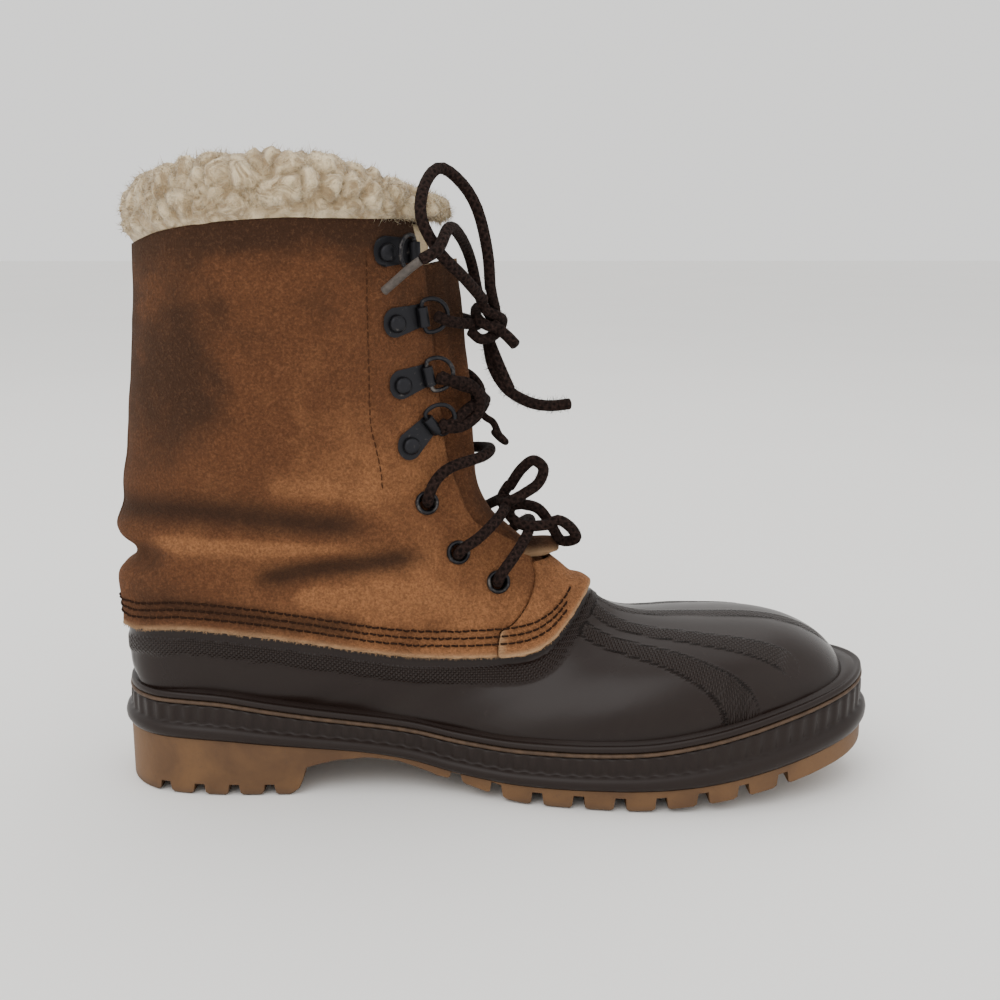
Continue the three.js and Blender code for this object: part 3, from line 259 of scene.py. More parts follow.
# Lace routes in mm
LACE_CORDS = {
    "lace_loop_tall": [(111, -11, 202), (103, -27, 212), (94, -38, 222), (88, -39, 234), (89, -31, 246),
                       (95, -18, 253), (104, -9, 246), (109, -8, 237), (113, -9, 220), (114, -7, 206)],
    "lace_end_inner": [(109, 5, 203), (106, 4, 217), (102, -13, 227), (98, -34, 230), (94, -48, 222),
                       (89, -51, 219)],
    "lace_end_long": [(113, 1, 183), (115, -2, 174), (121, -6, 165), (130, -9, 160), (138, -12, 159),
                      (146, -14, 160)],
    "lace_loop_middle": [(122, -1, 123), (127, -3, 131), (132, -5, 135), (136, -6, 132), (134, -8, 126),
                         (127, -9, 121)],
    "lace_loop_low": [(127, -3, 116), (134, -3, 114), (140, -2, 106), (144, -3, 100), (150, -7, 102),
                      (147, -11, 108), (142, -12, 111), (138, -12, 109)],
}


def mirrored(half):
    """A route across the boot: its inner half, which ends on the middle line, and the same on the outer side."""
    return half + [(x, -y, z) for x, y, z in reversed(half[:-1])]


KNOT_ROUTES = [
    [(106, -9, 189), (110, -10, 186), (115, -7, 187), (118, -3, 190), (117, 2, 194), (113, 5, 197),
     (109, 2, 198), (108, -4, 196), (110, -9, 193), (114, -10, 191), (118, -8, 190)],
    [(111, -11, 203), (111, -10, 200), (113, -9, 197), (117, -7, 195), (119, -3, 193), (117, 1, 188),
     (113.5, 1.5, 185.5), (113, 1, 183)],
    [(114, -7, 207), (115, -6, 202), (116, -3, 197), (115, 1, 193), (112, 3, 190)],
    [(109, 5, 204), (110.5, 4, 200), (113, 1, 196), (116, -3, 192), (117, -6, 189)],
    [(113, 2, 186), (115.5, -1, 180), (119, -5, 172), (122, -7, 165.5)],
]
TIPPED_ROUTE = [(115, -8, 192), (118, -8.5, 189.5), (121, -10, 187), (124, -12, 184)]
KNOTTED_ROUTE = [(109, -3, 156), (112, -3.5, 153), (115, -4, 151), (117, -5, 147), (118.5, -6, 144)]
KNOTTED_RING = [(115.5, -5, 147), (118, -8.4, 146), (120.3, -6, 143), (118, -3, 144)]
TIP_ROUTE = [(88, -50.8, 218.3), (86, -50.5, 217), (74, -45, 207)]
LACE_BARS = {
    "bar_ring_2": mirrored([(93, -21.5, 196), (97, -19, 194), (101, -15.5, 193), (106, -8.5, 192),
                            (108.5, 0, 191)]),
    "bar_ring_3": [(94, -19, 172), (98, -18.5, 170), (102, -16, 168), (108, -9, 165), (111.5, 0, 159),
                   (108, 9, 153), (102, 16, 151), (98, 18.5, 150), (94, 19, 152)],
    "bar_eyelet_1": mirrored([(88.6, -20, 120.2), (88.5, -25, 122), (89.5, -28, 126), (92, -27, 131),
                              (97, -23, 135), (111, -11, 138), (114, 0, 139)]),
    "bar_eyelet_2": mirrored([(101, -20, 99), (101, -26, 100), (102.5, -29.5, 103), (109, -27, 107),
                              (118, -16, 114), (121, 0, 117)]),
    "bar_eyelet_3": mirrored([(117, -18, 86), (117, -25, 88.5), (118.5, -28, 92.5), (123, -25, 98),
                              (129, -14, 105), (131, 0, 108)]),
}
LACE_JOINS = {
    "join_middle": [(122, -1, 124), (119.5, 0, 120), (118.5, -3, 117), (120.5, -8, 117.5), (124, -9.5, 119.5),
                    (127, -9, 121)],
    "join_low": [(127, -3, 116), (123, -3, 115), (122, -6, 112), (126, -10, 109), (131, -12, 108.5),
                 (138, -12, 109)],
}
LACE_TURN = [(93, 19.5, 171), (99, 19, 170), (105, 15, 168.5), (109.5, 12, 163), (109, 12, 156), (104, 16, 152),
             (98, 19, 151), (94, 19.5, 153)]
LACE_CROSS = [(94, 19, 150), (99, 17.5, 153), (105, 13, 158), (110, 6, 160), (112, 0, 160)]


def along_of(x):
    return (x + HEEL_BEHIND) / SOLE_LENGTH


def x_of(along):
    return along * SOLE_LENGTH - HEEL_BEHIND


def curve_through(rows, v, column=1):
    """Smooth curve through a table's rows."""
    table = np.array([(row[0], row[column]) for row in rows], float)
    keys, values = table.T
    v = np.clip(v, keys[0], keys[-1])
    last = len(keys) - 1
    low = np.maximum(np.arange(last + 1) - 1, 0)
    high = np.minimum(np.arange(last + 1) + 1, last)
    slopes = (values[high] - values[low]) / (keys[high] - keys[low])
    i = np.clip(np.searchsorted(keys, v, side="right") - 1, 0, last - 1)
    width = keys[i + 1] - keys[i]
    t = (v - keys[i]) / width
    t2 = t * t
    t3 = t2 * t
    return ((2 * t3 - 3 * t2 + 1) * values[i] + (t3 - 2 * t2 + t) * width * slopes[i]
            + (3 * t2 - 2 * t3) * values[i + 1] + (t3 - t2) * width * slopes[i + 1])


def gum_top(x):
    return HEEL_STACK * curve_through(SOLE_PROFILE, along_of(x), 1)


def ledge_z(x):
    return gum_top(x) + SIDEWALL_HEIGHT * curve_through(SOLE_PROFILE, along_of(x), 2)


def hem_z(x):
    return HEM_HEIGHT * curve_through(HEM_LINE, along_of(x))


def smooth_step(low, high, v):
    t = np.clip((v - low) / (high - low), 0, 1)
    return t * t * (3 - 2 * t)


def metres(route):
    """A route given in mm."""
    return np.array(route, float) * 0.001


def spline(points, count, closed=False):
    """Points evenly spaced along a centripetal curve through the given ones."""
    given = np.array(points, float)
    size = len(given)
    dense = []
    pieces = size if closed else size - 1
    for k in range(pieces):
        if closed:
            p0, p1, p2, p3 = (given[(k + d) % size] for d in (-1, 0, 1, 2))
        else:
            p1, p2 = given[k], given[k + 1]
            p0 = given[k - 1] if k else 2 * p1 - p2
            p3 = given[k + 2] if k + 2 < size else 2 * p2 - p1
        d0, d1, d2 = (max(np.linalg.norm(b - a), 1e-9) ** 0.5 for a, b in ((p0, p1), (p1, p2), (p2, p3)))
        m1 = ((p1 - p0) / d0 - (p2 - p0) / (d0 + d1) + (p2 - p1) / d1) * d1
        m2 = ((p2 - p1) / d1 - (p3 - p1) / (d1 + d2) + (p3 - p2) / d2) * d1
        t = np.linspace(0, 1, 60, endpoint=False)[:, None]
        dense.append((2 * t**3 - 3 * t**2 + 1) * p1 + (t**3 - 2 * t**2 + t) * m1
                     + (3 * t**2 - 2 * t**3) * p2 + (t**3 - t**2) * m2)
    dense = np.concatenate(dense + [given[:1] if closed else given[-1:]])
    length = np.concatenate([[0], np.cumsum(np.linalg.norm(np.diff(dense, axis=0), axis=1))])
    at = np.linspace(0, length[-1], count, endpoint=not closed)
    return np.stack([np.interp(at, length, dense[:, k]) for k in range(dense.shape[1])], axis=1)


def outline_loop(count, inset):
    """The sole's outline from above, moved inwards by inset."""
    heel_end = (x_of(0), 0)
    toe_end = (x_of(1), -TOE_SHIFT * BALL_WIDTH)
    inner = [(x_of(a), -out * BALL_WIDTH) for a, out in INNER_OUTLINE]
    outer = [(x_of(a), out * BALL_WIDTH) for a, out in reversed(OUTER_OUTLINE)]
    loop = spline([heel_end, *inner, toe_end, *outer], count, closed=True)
    way = np.roll(loop, -1, axis=0) - np.roll(loop, 1, axis=0)
    way /= np.linalg.norm(way, axis=1)[:, None]
    return loop + inset * np.stack([-way[:, 1], way[:, 0]], axis=1)


def half_widths(inset):
    """A function of x and side that gives the outline's half width."""
    loop = outline_loop(720, inset)
    heel, toe = np.argmin(loop[:, 0]), np.argmax(loop[:, 0])
    loop = np.roll(loop, -heel, axis=0)
    toe = (toe - heel) % len(loop)
    inner, outer = loop[: toe + 1], np.concatenate([loop[toe:], loop[:1]])[::-1]

    def width(x, side):
        rows = inner if side < 0 else outer
        return np.maximum(0, np.interp(x, rows[:, 0], side * rows[:, 1], left=0, right=0))

    return width


def form_sections():
    form_width = half_widths(FORM_INSET)
    sections = []
    for back, back_up, front, front_up, back_round, front_round in SHAFT_SECTIONS:
        half = SHAFT_WIDTH * float(curve_through(SHAFT_WIDTHS, (back_up + front_up) / 2))
        rise = SHAFT_HEIGHT - ANKLE_HEIGHT
        back, front = (x_of(back), ANKLE_HEIGHT + back_up * rise), (x_of(front), ANKLE_HEIGHT + front_up * rise)
        sections.append([back, front, SHAFT_WIDEST, half, half, back_round, front_round, False])

    def lower(back, front, widest, back_round, front_round):
        x = back[0] + widest * (front[0] - back[0])
        sections.append([back, front, widest, float(form_width(x, -1)), float(form_width(x, 1)), back_round,
                         front_round, True])

    for i, (back, back_up, front, front_up, back_round, front_round) in enumerate(HEEL_SECTIONS):
        widest = SHAFT_WIDEST + ((i + 1) / (len(HEEL_SECTIONS) + 1)) * (FOOT_WIDEST - SHAFT_WIDEST)
        lower((x_of(back), back_up * ANKLE_HEIGHT), (x_of(front), front_up * INSTEP_HEIGHT), widest, back_round,
              front_round)
    for back, front, front_up, front_round in FOOT_SECTIONS:
        low = float(gum_top(x_of(back))) + GAP - LAP + SHELL_EASE
        lower((x_of(back), low), (x_of(front), front_up * TOE_HEIGHT + LAP), FOOT_WIDEST, FOOT_BOTTOM_ROUND,
              front_round)
    return sections


def section_points(section, turns, width):
    back, front, widest, inner, outer, back_round, front_round, in_foot = section
    c = -np.cos(2 * np.pi * turns)
    s = np.sin(2 * np.pi * turns)
    round_ = np.where(c < 0, back_round, front_round)
    reach = np.where(c < 0, widest, 1 - widest)
    share = widest + reach * np.sign(c) * np.abs(c) ** (2 / round_)
    side = np.where(s > 0, -1, 1)
    x = back[0] + share * (front[0] - back[0])
    z = back[1] + share * (front[1] - back[1])
    half = np.where(s > 0, inner, outer) * np.abs(s) ** (2 / round_)
    if in_foot:
        most = np.where(side < 0, width(x, -1), width(x, 1))
        heel = smooth_step(0.05, 0.0, x)
        low, high = -CLAMP_RISE * (1 + 1.5 * heel), CLAMP_RISE * (5 - 4.5 * heel)
        free = CLAMP_FREE * smooth_step(low, high, z - ledge_z(x))
        half = np.minimum(half, most + free)
    return np.stack([x, side * half, z], axis=1)


SECTIONS = form_sections()
TOE_TIP = np.array([x_of(1) - FORM_INSET, 0, 0])
COARSE = np.array([section_points(s, np.arange(AROUND) / AROUND, half_widths(FORM_INSET)) for s in SECTIONS])
TOE_TIP[1:] = COARSE[-1].mean(axis=0)[1:]


def end_normals():
    """Outward ways at the back and the front of each section."""
    ways = []
    for i, row in enumerate(COARSE):
        before = COARSE[max(0, i - 1)]
        after = COARSE[i + 1] if i + 1 < len(COARSE) else np.tile(TOE_TIP, (AROUND, 1))
        normal = -np.cross(np.roll(row, -1, axis=0) - np.roll(row, 1, axis=0), after - before)
        ways.append(normal / np.linalg.norm(normal, axis=1)[:, None])
    return np.array(ways)


NORMALS = end_normals()
WIDTH_CACHE = {}


def form_rows(turns, out):
    """The sections of the form grown by out, as rows of points."""
    if out not in WIDTH_CACHE:
        WIDTH_CACHE[out] = half_widths(FORM_INSET - out)
    rows = []
    for i, (back, front, widest, inner, outer, back_round, front_round, in_foot) in enumerate(SECTIONS):
        b, f = NORMALS[i][0], NORMALS[i][AROUND // 2]
        grown = [(back[0] + out * b[0], back[1] + out * b[2]), (front[0] + out * f[0], front[1] + out * f[2]),
                 widest, inner + out, outer + out, back_round, front_round, in_foot]
        rows.append(section_points(grown, turns, WIDTH_CACHE[out]))
    return np.array(rows)


def blend_rows(rows, at):
    """Rows at fractional places, on a smooth curve through the given rows."""
    last = len(rows) - 1
    i = np.clip(np.floor(at).astype(int), 0, last - 1)
    t = (at - i)[:, None, None]
    p1, p2 = rows[i], rows[i + 1]
    p0 = np.where((i > 0)[:, None, None], rows[np.maximum(i - 1, 0)], 2 * p1 - p2)
    p3 = np.where((i + 2 <= last)[:, None, None], rows[np.minimum(i + 2, last)], 2 * p2 - p1)

    def gap_between(a, b):
        return np.maximum(np.linalg.norm(b - a, axis=2, keepdims=True), 1e-7) ** 0.5

    d0, d1, d2 = gap_between(p0, p1), gap_between(p1, p2), gap_between(p2, p3)
    m1 = ((p1 - p0) / d0 - (p2 - p0) / (d0 + d1) + (p2 - p1) / d1) * d1
    m2 = ((p2 - p1) / d1 - (p3 - p1) / (d1 + d2) + (p3 - p2) / d2) * d1
    return ((2 * t**3 - 3 * t**2 + 1) * p1 + (t**3 - 2 * t**2 + t) * m1
            + (3 * t**2 - 2 * t**3) * p2 + (t**3 - t**2) * m2)


def form_grid(out, first, last, rows, columns, cap=0):
    """A smooth grid over the form between two sections; cap adds rows that close the toe."""
    turns = np.linspace(0, 1, columns)
    base = form_rows(turns, out)
    fine = np.linspace(first, last, 400)
    trial = blend_rows(base, fine)[:, :: max(1, columns // 24)]
    step = np.linalg.norm(np.diff(trial, axis=0), axis=2)
    length = np.concatenate([[0], np.cumsum(step.mean(axis=1) + 0.5 * step.max(axis=1))])
    at = np.interp(np.linspace(0, length[-1], rows), length, fine)
    grid = blend_rows(base, at)
    if cap:
        tip = TOE_TIP + np.array([out, 0, 0])
        centre = grid[-1].mean(axis=0)
        closing = []
        for k in range(1, cap + 1):
            turn = 0.5 * math.pi * k / cap
            closing.append(centre + math.cos(turn) * (grid[-1] - centre) + math.sin(turn) * (tip - centre))
        grid = np.concatenate([grid, np.array(closing)])
    return grid


def grid_normals(grid, closed=True):
    """Outward normals of a grid of points."""
    down = np.gradient(grid, axis=0)
    if closed:
        across = np.gradient(np.concatenate([grid[:, -2:-1], grid, grid[:, 1:2]], axis=1), axis=1)[:, 1:-1]
    else:
        across = np.gradient(grid, axis=1)
    normal = -np.cross(across, down)
    return normal / np.maximum(np.linalg.norm(normal, axis=2, keepdims=True), 1e-12)


def distance_to(points, route):
    """Distance of 2-D points from a route, with the length along it there."""
    best = np.full(points.shape[0], 1e9)
    along = np.zeros(points.shape[0])
    sideways = np.zeros(points.shape[0])
    length = 0.0
    for a, b in zip(route[:-1], route[1:]):
        a, b = np.array(a), np.array(b)
        way = b - a
        size = np.linalg.norm(way)
        t = np.clip(((points - a) @ way) / size**2, 0, 1)
        apart = points - (a + t[:, None] * way)
        d = np.linalg.norm(apart, axis=1)
        closer = d < best
        best = np.where(closer, d, best)
        along = np.where(closer, length + t * size, along)
        sideways = np.where(closer, (way[0] * apart[:, 1] - way[1] * apart[:, 0]) / size, sideways)
        length += size
    return best, along, sideways, length


def clear_noise(points, scale, octaves=3, seed=0.0):
    """Smooth noise at each point."""
    return np.array([noise.fractal(Vector(p) * scale + Vector((seed, seed, seed)), 1.0, 2.0, octaves)
                     for p in points])


# Meshes


def grid_mesh(grid, values=None, closed=False, flip=False):
    """A bmesh grid laid on rows of points, with named values at its points. flip turns its faces over."""
    rows, columns = grid.shape[:2]
    bm = bmesh.new()
    bmesh.ops.create_grid(bm, x_segments=columns - 1, y_segments=rows - 1, size=1)
    layers = {name: bm.verts.layers.float.new(name) for name in (values or {})}
    for v in bm.verts:
        j = round((v.co.x + 1) / 2 * (columns - 1))
        i = round((v.co.y + 1) / 2 * (rows - 1))
        v.co = grid[i, j]
        for name, layer in layers.items():
            v[layer] = float(values[name][i, j])
    if closed:
        bmesh.ops.remove_doubles(bm, verts=bm.verts, dist=1e-6)
    if flip:
        bmesh.ops.reverse_faces(bm, faces=bm.faces)
    return bm


def trim(bm, keep):
    """Cuts a sheet where keep is zero: the nearest points move onto the line."""
    bm.verts.index_update()
    level = keep(np.array([v.co for v in bm.verts]))
    best = {}
    for edge in bm.edges:
        a, b = edge.verts
        fa, fb = level[a.index], level[b.index]
        if (fa < 0) == (fb < 0):
            continue
        t = fa / (fa - fb)
        near, share = (a, t) if t < 0.5 else (b, 1 - t)
        if near.index not in best or share < best[near.index][0]:
            best[near.index] = (share, near, a.co.lerp(b.co, t))
    for _, vert, place in best.values():
        vert.co = place
        level[vert.index] = 0
    for face in list(bm.faces):
        signs = [level[v.index] for v in face.verts]
        if min(signs) < 0 < max(signs):
            on_line = [v for v in face.verts if level[v.index] == 0]
            if len(on_line) != 2:
                continue
            if not any(e.other_vert(on_line[0]) == on_line[1] for e in on_line[0].link_edges):
                bmesh.utils.face_split(face, on_line[0], on_line[1])
    gone = [v for v in bm.verts if level[v.index] < 0]
    bmesh.ops.delete(bm, geom=gone, context="VERTS")


def join_mesh(target, source):
    """Adds one bmesh to another."""
    mesh = bpy.data.meshes.new("part")
    source.to_mesh(mesh)
    source.free()
    target.from_mesh(mesh)
    bpy.data.meshes.remove(mesh)


def new_piece(name, bm, key, body="boot", node=None, recalculate=True, wall=None):
    """Turns a bmesh into a finished piece that rides on a body. wall is a sheet's thickness."""
    if recalculate and not wall:
        bmesh.ops.recalc_face_normals(bm, faces=bm.faces)
    mesh = bpy.data.meshes.new(name)
    bm.to_mesh(mesh)
    bm.free()
    for polygon in mesh.polygons:
        polygon.use_smooth = True
    piece = bpy.data.objects.new(name, mesh)
    bpy.context.scene.collection.objects.link(piece)
    mesh.materials.append(material_for(key))
    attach(piece, body)
    if node:
        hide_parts(node)
    if wall:
        thicken(piece, wall)
    return piece


def thicken(piece, thickness, offset=-1.0):
    wall = piece.modifiers.new("Wall", "SOLIDIFY")
    wall.thickness = thickness
    wall.offset = offset
    wall.use_even_offset = False
    return wall


def soften(piece, width, segments=2):
    edge = piece.modifiers.new("Edges", "BEVEL")
    edge.width = width
    edge.segments = segments
    edge.limit_method = "ANGLE"
    edge.angle_limit = math.radians(40)
    return edge


def tube(points, radius, sides=12, closed=False, ends=None):
    """A round tube along points. ends is how far its tips are rounded."""
    points = np.array(points, float)
    count = len(points)
    if closed:
        ways = np.roll(points, -1, axis=0) - np.roll(points, 1, axis=0)
    else:
        ways = np.gradient(points, axis=0)
    ways /= np.linalg.norm(ways, axis=1)[:, None]
    across = np.zeros_like(points)
    start = np.array([0.0, 0.0, 1.0]) if abs(ways[0][2]) < 0.9 else np.array([1.0, 0.0, 0.0])
    side = np.cross(ways[0], start)
    for i in range(count):
        side = side - ways[i] * np.dot(side, ways[i])
        side /= np.linalg.norm(side)
        across[i] = side
    other = np.cross(ways, across)
    if closed:
        twist = math.atan2(np.dot(across[0], other[-1]), np.dot(across[0], across[-1]))
        turn_by = np.linspace(0, twist, count)
        across, other = (across * np.cos(turn_by)[:, None] + other * np.sin(turn_by)[:, None],
                         other * np.cos(turn_by)[:, None] - across * np.sin(turn_by)[:, None])
    radii = np.full(count, radius, float) if np.isscalar(radius) else np.array(radius, float)
    turns = np.linspace(0, 2 * math.pi, sides + 1)
    grid = (points[:, None] + radii[:, None, None] * (np.cos(turns)[None, :, None] * across[:, None]
            + np.sin(turns)[None, :, None] * other[:, None]))
    length = np.concatenate([[0], np.cumsum(np.linalg.norm(np.diff(points, axis=0), axis=1))])
    if closed:
        grid = np.concatenate([grid, grid[:1]])
        length = np.append(length, length[-1])
    elif ends:
        caps = []
        for sign, row, place, way in ((-1, grid[0], points[0], ways[0]), (1, grid[-1], points[-1], ways[-1])):
            dome = [place + sign * way * ends * math.sin(a) + (row - place) * math.cos(a)
                    for a in np.linspace(0.35, math.pi / 2, 4)]
            caps.append(dome)
        grid = np.concatenate([np.array(caps[0][::-1]), grid, np.array(caps[1])])
        length = np.concatenate([np.full(4, length[0]), length, np.full(4, length[-1])])
    around = np.tile(turns / (2 * math.pi), (grid.shape[0], 1))
    run = np.tile(length[:, None], (1, sides + 1))
    return grid_mesh(grid, {"run": run, "turn": around}, closed=True)


def place_matrix(origin, ahead, normal):
    """A frame from a seat given in mm: X ahead, Z out of the surface."""
    n = Vector(normal).normalized()
    x = (Vector(ahead) - Vector(ahead).dot(n) * n).normalized()
    y = n.cross(x)
    matrix = Matrix((x, y, n)).transposed().to_4x4()
    matrix.translation = Vector(origin) * 0.001
    return matrix


# Materials

NAP_SHADOW = (0.028, 0.012, 0.006, 1)
NAP_TIP = (0.5, 0.24, 0.11, 1)
# Colour of the shade painted into the suede's creases, folds, seams and stitch grooves
PAINTED_SHADE = (0.02, 0.011, 0.008, 1)
RAW_EDGE = (0.46, 0.29, 0.16, 1)
DUST = (0.10, 0.085, 0.07, 1)
WORN_KNURL = (0.05, 0.038, 0.032, 1)
GUM_GRIT = (0.07, 0.04, 0.022, 1)
GUM_BOTTOM_DARK = (0.05, 0.035, 0.025, 1)
FELT_SPECK = (0.3, 0.24, 0.17, 1)
BARE_METAL = (0.22, 0.2, 0.185, 1)
BRAID_SHADOW = (0.005, 0.003, 0.0025, 1)
BRAID_FUZZ = (0.075, 0.042, 0.033, 1)
BRAID_PITCH = 0.0034


def new_material(name):
    material = bpy.data.materials.new(name)
    material.use_nodes = True
    tree = material.node_tree
    tree.nodes.clear()
    shader = tree.nodes.new("ShaderNodeBsdfPrincipled")
    output = tree.nodes.new("ShaderNodeOutputMaterial")
    tree.links.new(shader.outputs["BSDF"], output.inputs["Surface"])
    return material, tree, shader


def add_node(tree, kind, settings=None, **inputs):
    made = tree.nodes.new("ShaderNode" + kind)
    for key, value in (settings or {}).items():
        setattr(made, key, value)
    for key, value in inputs.items():
        socket = made.inputs[int(key[1:])] if key[0] == "_" else made.inputs[key.replace("_", " ")]
        if hasattr(value, "is_output"):
            tree.links.new(value, socket)
        else:
            socket.default_value = value
    return made


def calc(tree, operation, *values, clamp=False):
    inputs = {f"_{i}": v for i, v in enumerate(values)}
    return add_node(tree, "Math", {"operation": operation, "use_clamp": clamp}, **inputs).outputs[0]


def ramp(tree, value, low, high):
    """0 to 1 as value goes from low to high."""
    smooth = {"interpolation_type": "SMOOTHSTEP"}
    return add_node(tree, "MapRange", smooth, Value=value, From_Min=low, From_Max=high).outputs[0]


def mix_colour(tree, share, a, b):
    made = tree.nodes.new("ShaderNodeMix")
    made.data_type = "RGBA"
    for socket, value in ((made.inputs[0], share), (made.inputs[6], a), (made.inputs[7], b)):
        if hasattr(value, "is_output"):
            tree.links.new(value, socket)
        else:
            socket.default_value = value
    return made.outputs[2]


def cloud(tree, scale, detail=4.0, rough=0.6, distort=0.0):
    """Noise on the object's own coordinates."""
    where = add_node(tree, "TexCoord").outputs["Object"]
    return add_node(tree, "TexNoise", Vector=where, Scale=scale, Detail=detail, Roughness=rough,
                    Distortion=distort).outputs[0]


def attribute(tree, name):
    return add_node(tree, "Attribute", {"attribute_name": name}).outputs["Fac"]


def nap_group():
    """Short fibres: a speckle mask and a height for the bump."""
    if "Short nap" in bpy.data.node_groups:
        return bpy.data.node_groups["Short nap"]
    group = bpy.data.node_groups.new("Short nap", "ShaderNodeTree")
    group.interface.new_socket("Grain", in_out="INPUT", socket_type="NodeSocketFloat").default_value = 900
    group.interface.new_socket("Speckle", in_out="OUTPUT", socket_type="NodeSocketFloat")
    group.interface.new_socket("Height", in_out="OUTPUT", socket_type="NodeSocketFloat")
    inside = group.nodes.new("NodeGroupInput")
    outside = group.nodes.new("NodeGroupOutput")
    where = add_node(group, "TexCoord").outputs["Object"]
    fine = add_node(group, "TexNoise", Vector=where, Scale=inside.outputs[0], Detail=3.0, Roughness=0.7).outputs[0]
    wide = add_node(group, "TexNoise", Vector=where, Scale=calc(group, "MULTIPLY", inside.outputs[0], 0.55),
                    Detail=3.0, Roughness=0.6).outputs[0]
    both = calc(group, "ADD", calc(group, "MULTIPLY", fine, 0.6), calc(group, "MULTIPLY", wide, 0.4))
    group.links.new(ramp(group, both, 0.36, 0.64), outside.inputs[0])
    group.links.new(both, outside.inputs[1])
    return group


def place_nap(tree, grain):
    made = tree.nodes.new("ShaderNodeGroup")
    made.node_tree = nap_group()
    made.inputs[0].default_value = grain
    return made.outputs[0], made.outputs[1]


def times(tree, a, b):
    return calc(tree, "MULTIPLY", a, b)


def plus(tree, a, b):
    return calc(tree, "ADD", a, b)


def dress(tree, shader, base, roughness, bump, **uniform):
    """Gives the shader its base colour, roughness, bump (height, strength, distance) and uniform values."""
    tree.links.new(base, shader.inputs["Base Color"])
    if hasattr(roughness, "is_output"):
        tree.links.new(roughness, shader.inputs["Roughness"])
    else:
        shader.inputs["Roughness"].default_value = roughness
    height, strength, distance = bump
    made = add_node(tree, "Bump", Height=height, Strength=strength, Distance=distance)
    tree.links.new(made.outputs[0], shader.inputs["Normal"])
    for name, value in uniform.items():
        shader.inputs[name.replace("_", " ")].default_value = value


def suede_material(tree, shader, colours):
    speckle, height = place_nap(tree, 1150.0)
    patches = cloud(tree, 16.0, 4.0, 0.55, 0.5)
    streaks = cloud(tree, 55.0, 4.0, 0.6, 0.4)
    light = plus(tree, attribute(tree, "tone"), times(tree, calc(tree, "SUBTRACT", patches, 0.5), 1.1))
    light = calc(tree, "ADD", light, times(tree, calc(tree, "SUBTRACT", streaks, 0.5), 0.5), clamp=True)
    base = mix_colour(tree, ramp(tree, light, 0.12, 0.5), tuple(colours.suede_dark), tuple(colours.suede_middle))
    base = mix_colour(tree, ramp(tree, light, 0.5, 0.95), base, tuple(colours.suede_light))
    base = mix_colour(tree, times(tree, calc(tree, "SUBTRACT", 1.0, speckle), 0.5), base, NAP_SHADOW)
    base = mix_colour(tree, times(tree, ramp(tree, speckle, 0.7, 1.0), 0.06), base, NAP_TIP)
    # Painted shade: darkens the creases, the tongue's folds, the back seam and the stitched band
    base = mix_colour(tree, attribute(tree, "painted_shading"), base, PAINTED_SHADE)
    base = mix_colour(tree, attribute(tree, "raw"), base, RAW_EDGE)
    dress(tree, shader, base, 0.95, (height, 1.0, 0.0022), Specular_IOR_Level=0.12, Sheen_Weight=0.06,
          Sheen_Roughness=0.6, Sheen_Tint=(0.8, 0.5, 0.3, 1))


def rubber_material(tree, shader, colours, knurled=True):
    smears = cloud(tree, 22.0, 5.0, 0.6, 0.8)
    dust = cloud(tree, 240.0, 4.0, 0.65)
    film = times(tree, ramp(tree, smears, 0.45, 0.8), 0.3)
    base = mix_colour(tree, film, tuple(colours.rubber), tuple(colours.rubber_film))
    base = mix_colour(tree, times(tree, ramp(tree, dust, 0.62, 0.85), 0.12), base, DUST)
    rough = plus(tree, 0.20, times(tree, smears, 0.2))
    height = times(tree, dust, 0.08)
    if knurled:
        mask = attribute(tree, "knurl")
        run, side = (times(tree, attribute(tree, name), math.pi / KNURL_PITCH) for name in ("run", "side"))
        one, two = (calc(tree, "ABSOLUTE", calc(tree, "SINE", calc(tree, way, run, side)))
                    for way in ("ADD", "SUBTRACT"))
        knurl = times(tree, times(tree, one, two), mask)
        height = plus(tree, height, knurl)
        base = mix_colour(tree, times(tree, ramp(tree, knurl, 0.6, 1.0), 0.3), base, WORN_KNURL)
        rough = plus(tree, rough, times(tree, mask, 0.2))
    else:
        rough = plus(tree, rough, 0.12)
    dress(tree, shader, base, rough, (height, 0.9, 0.0006), Specular_IOR_Level=0.24)


def gum_material(tree, shader, colours):
    patches = cloud(tree, 30.0, 4.0, 0.6, 0.4)
    grit = cloud(tree, 500.0, 3.0, 0.7)
    base = mix_colour(tree, ramp(tree, patches, 0.35, 0.7), tuple(colours.gum), tuple(colours.gum_dark))
    base = mix_colour(tree, times(tree, ramp(tree, grit, 0.55, 0.75), 0.35), base, GUM_GRIT)
    above_floor = add_node(tree, "SeparateXYZ", _0=add_node(tree, "TexCoord").outputs["Object"]).outputs[2]
    # Darker towards the bottom of the gum, within 4 mm of the floor
    base = mix_colour(tree, times(tree, ramp(tree, above_floor, 0.004, 0.0), 0.4), base, GUM_BOTTOM_DARK)
    dress(tree, shader, base, 0.62, (grit, 0.35, 0.0004), Specular_IOR_Level=0.35)


def fleece_material(tree, shader, colours):
    clumps = cloud(tree, 120.0, 5.0, 0.65, 1.2)
    strands = cloud(tree, 700.0, 4.0, 0.7, 0.6)
    shadow = tuple(colours.fleece_shadow)
    base = mix_colour(tree, ramp(tree, clumps, 0.36, 0.62), shadow, tuple(colours.fleece))
    # Painted shade in the hollows between the pile's clumps and at the hairs' roots
    base = mix_colour(tree, times(tree, attribute(tree, "deep"), 0.9), base, shadow)
    height = plus(tree, clumps, times(tree, strands, 0.4))
    dress(tree, shader, base, 1.0, (height, 0.9, 0.003), Specular_IOR_Level=0.05, Sheen_Weight=0.35,
          Subsurface_Weight=0.15, Subsurface_Radius=(0.004, 0.003, 0.002))


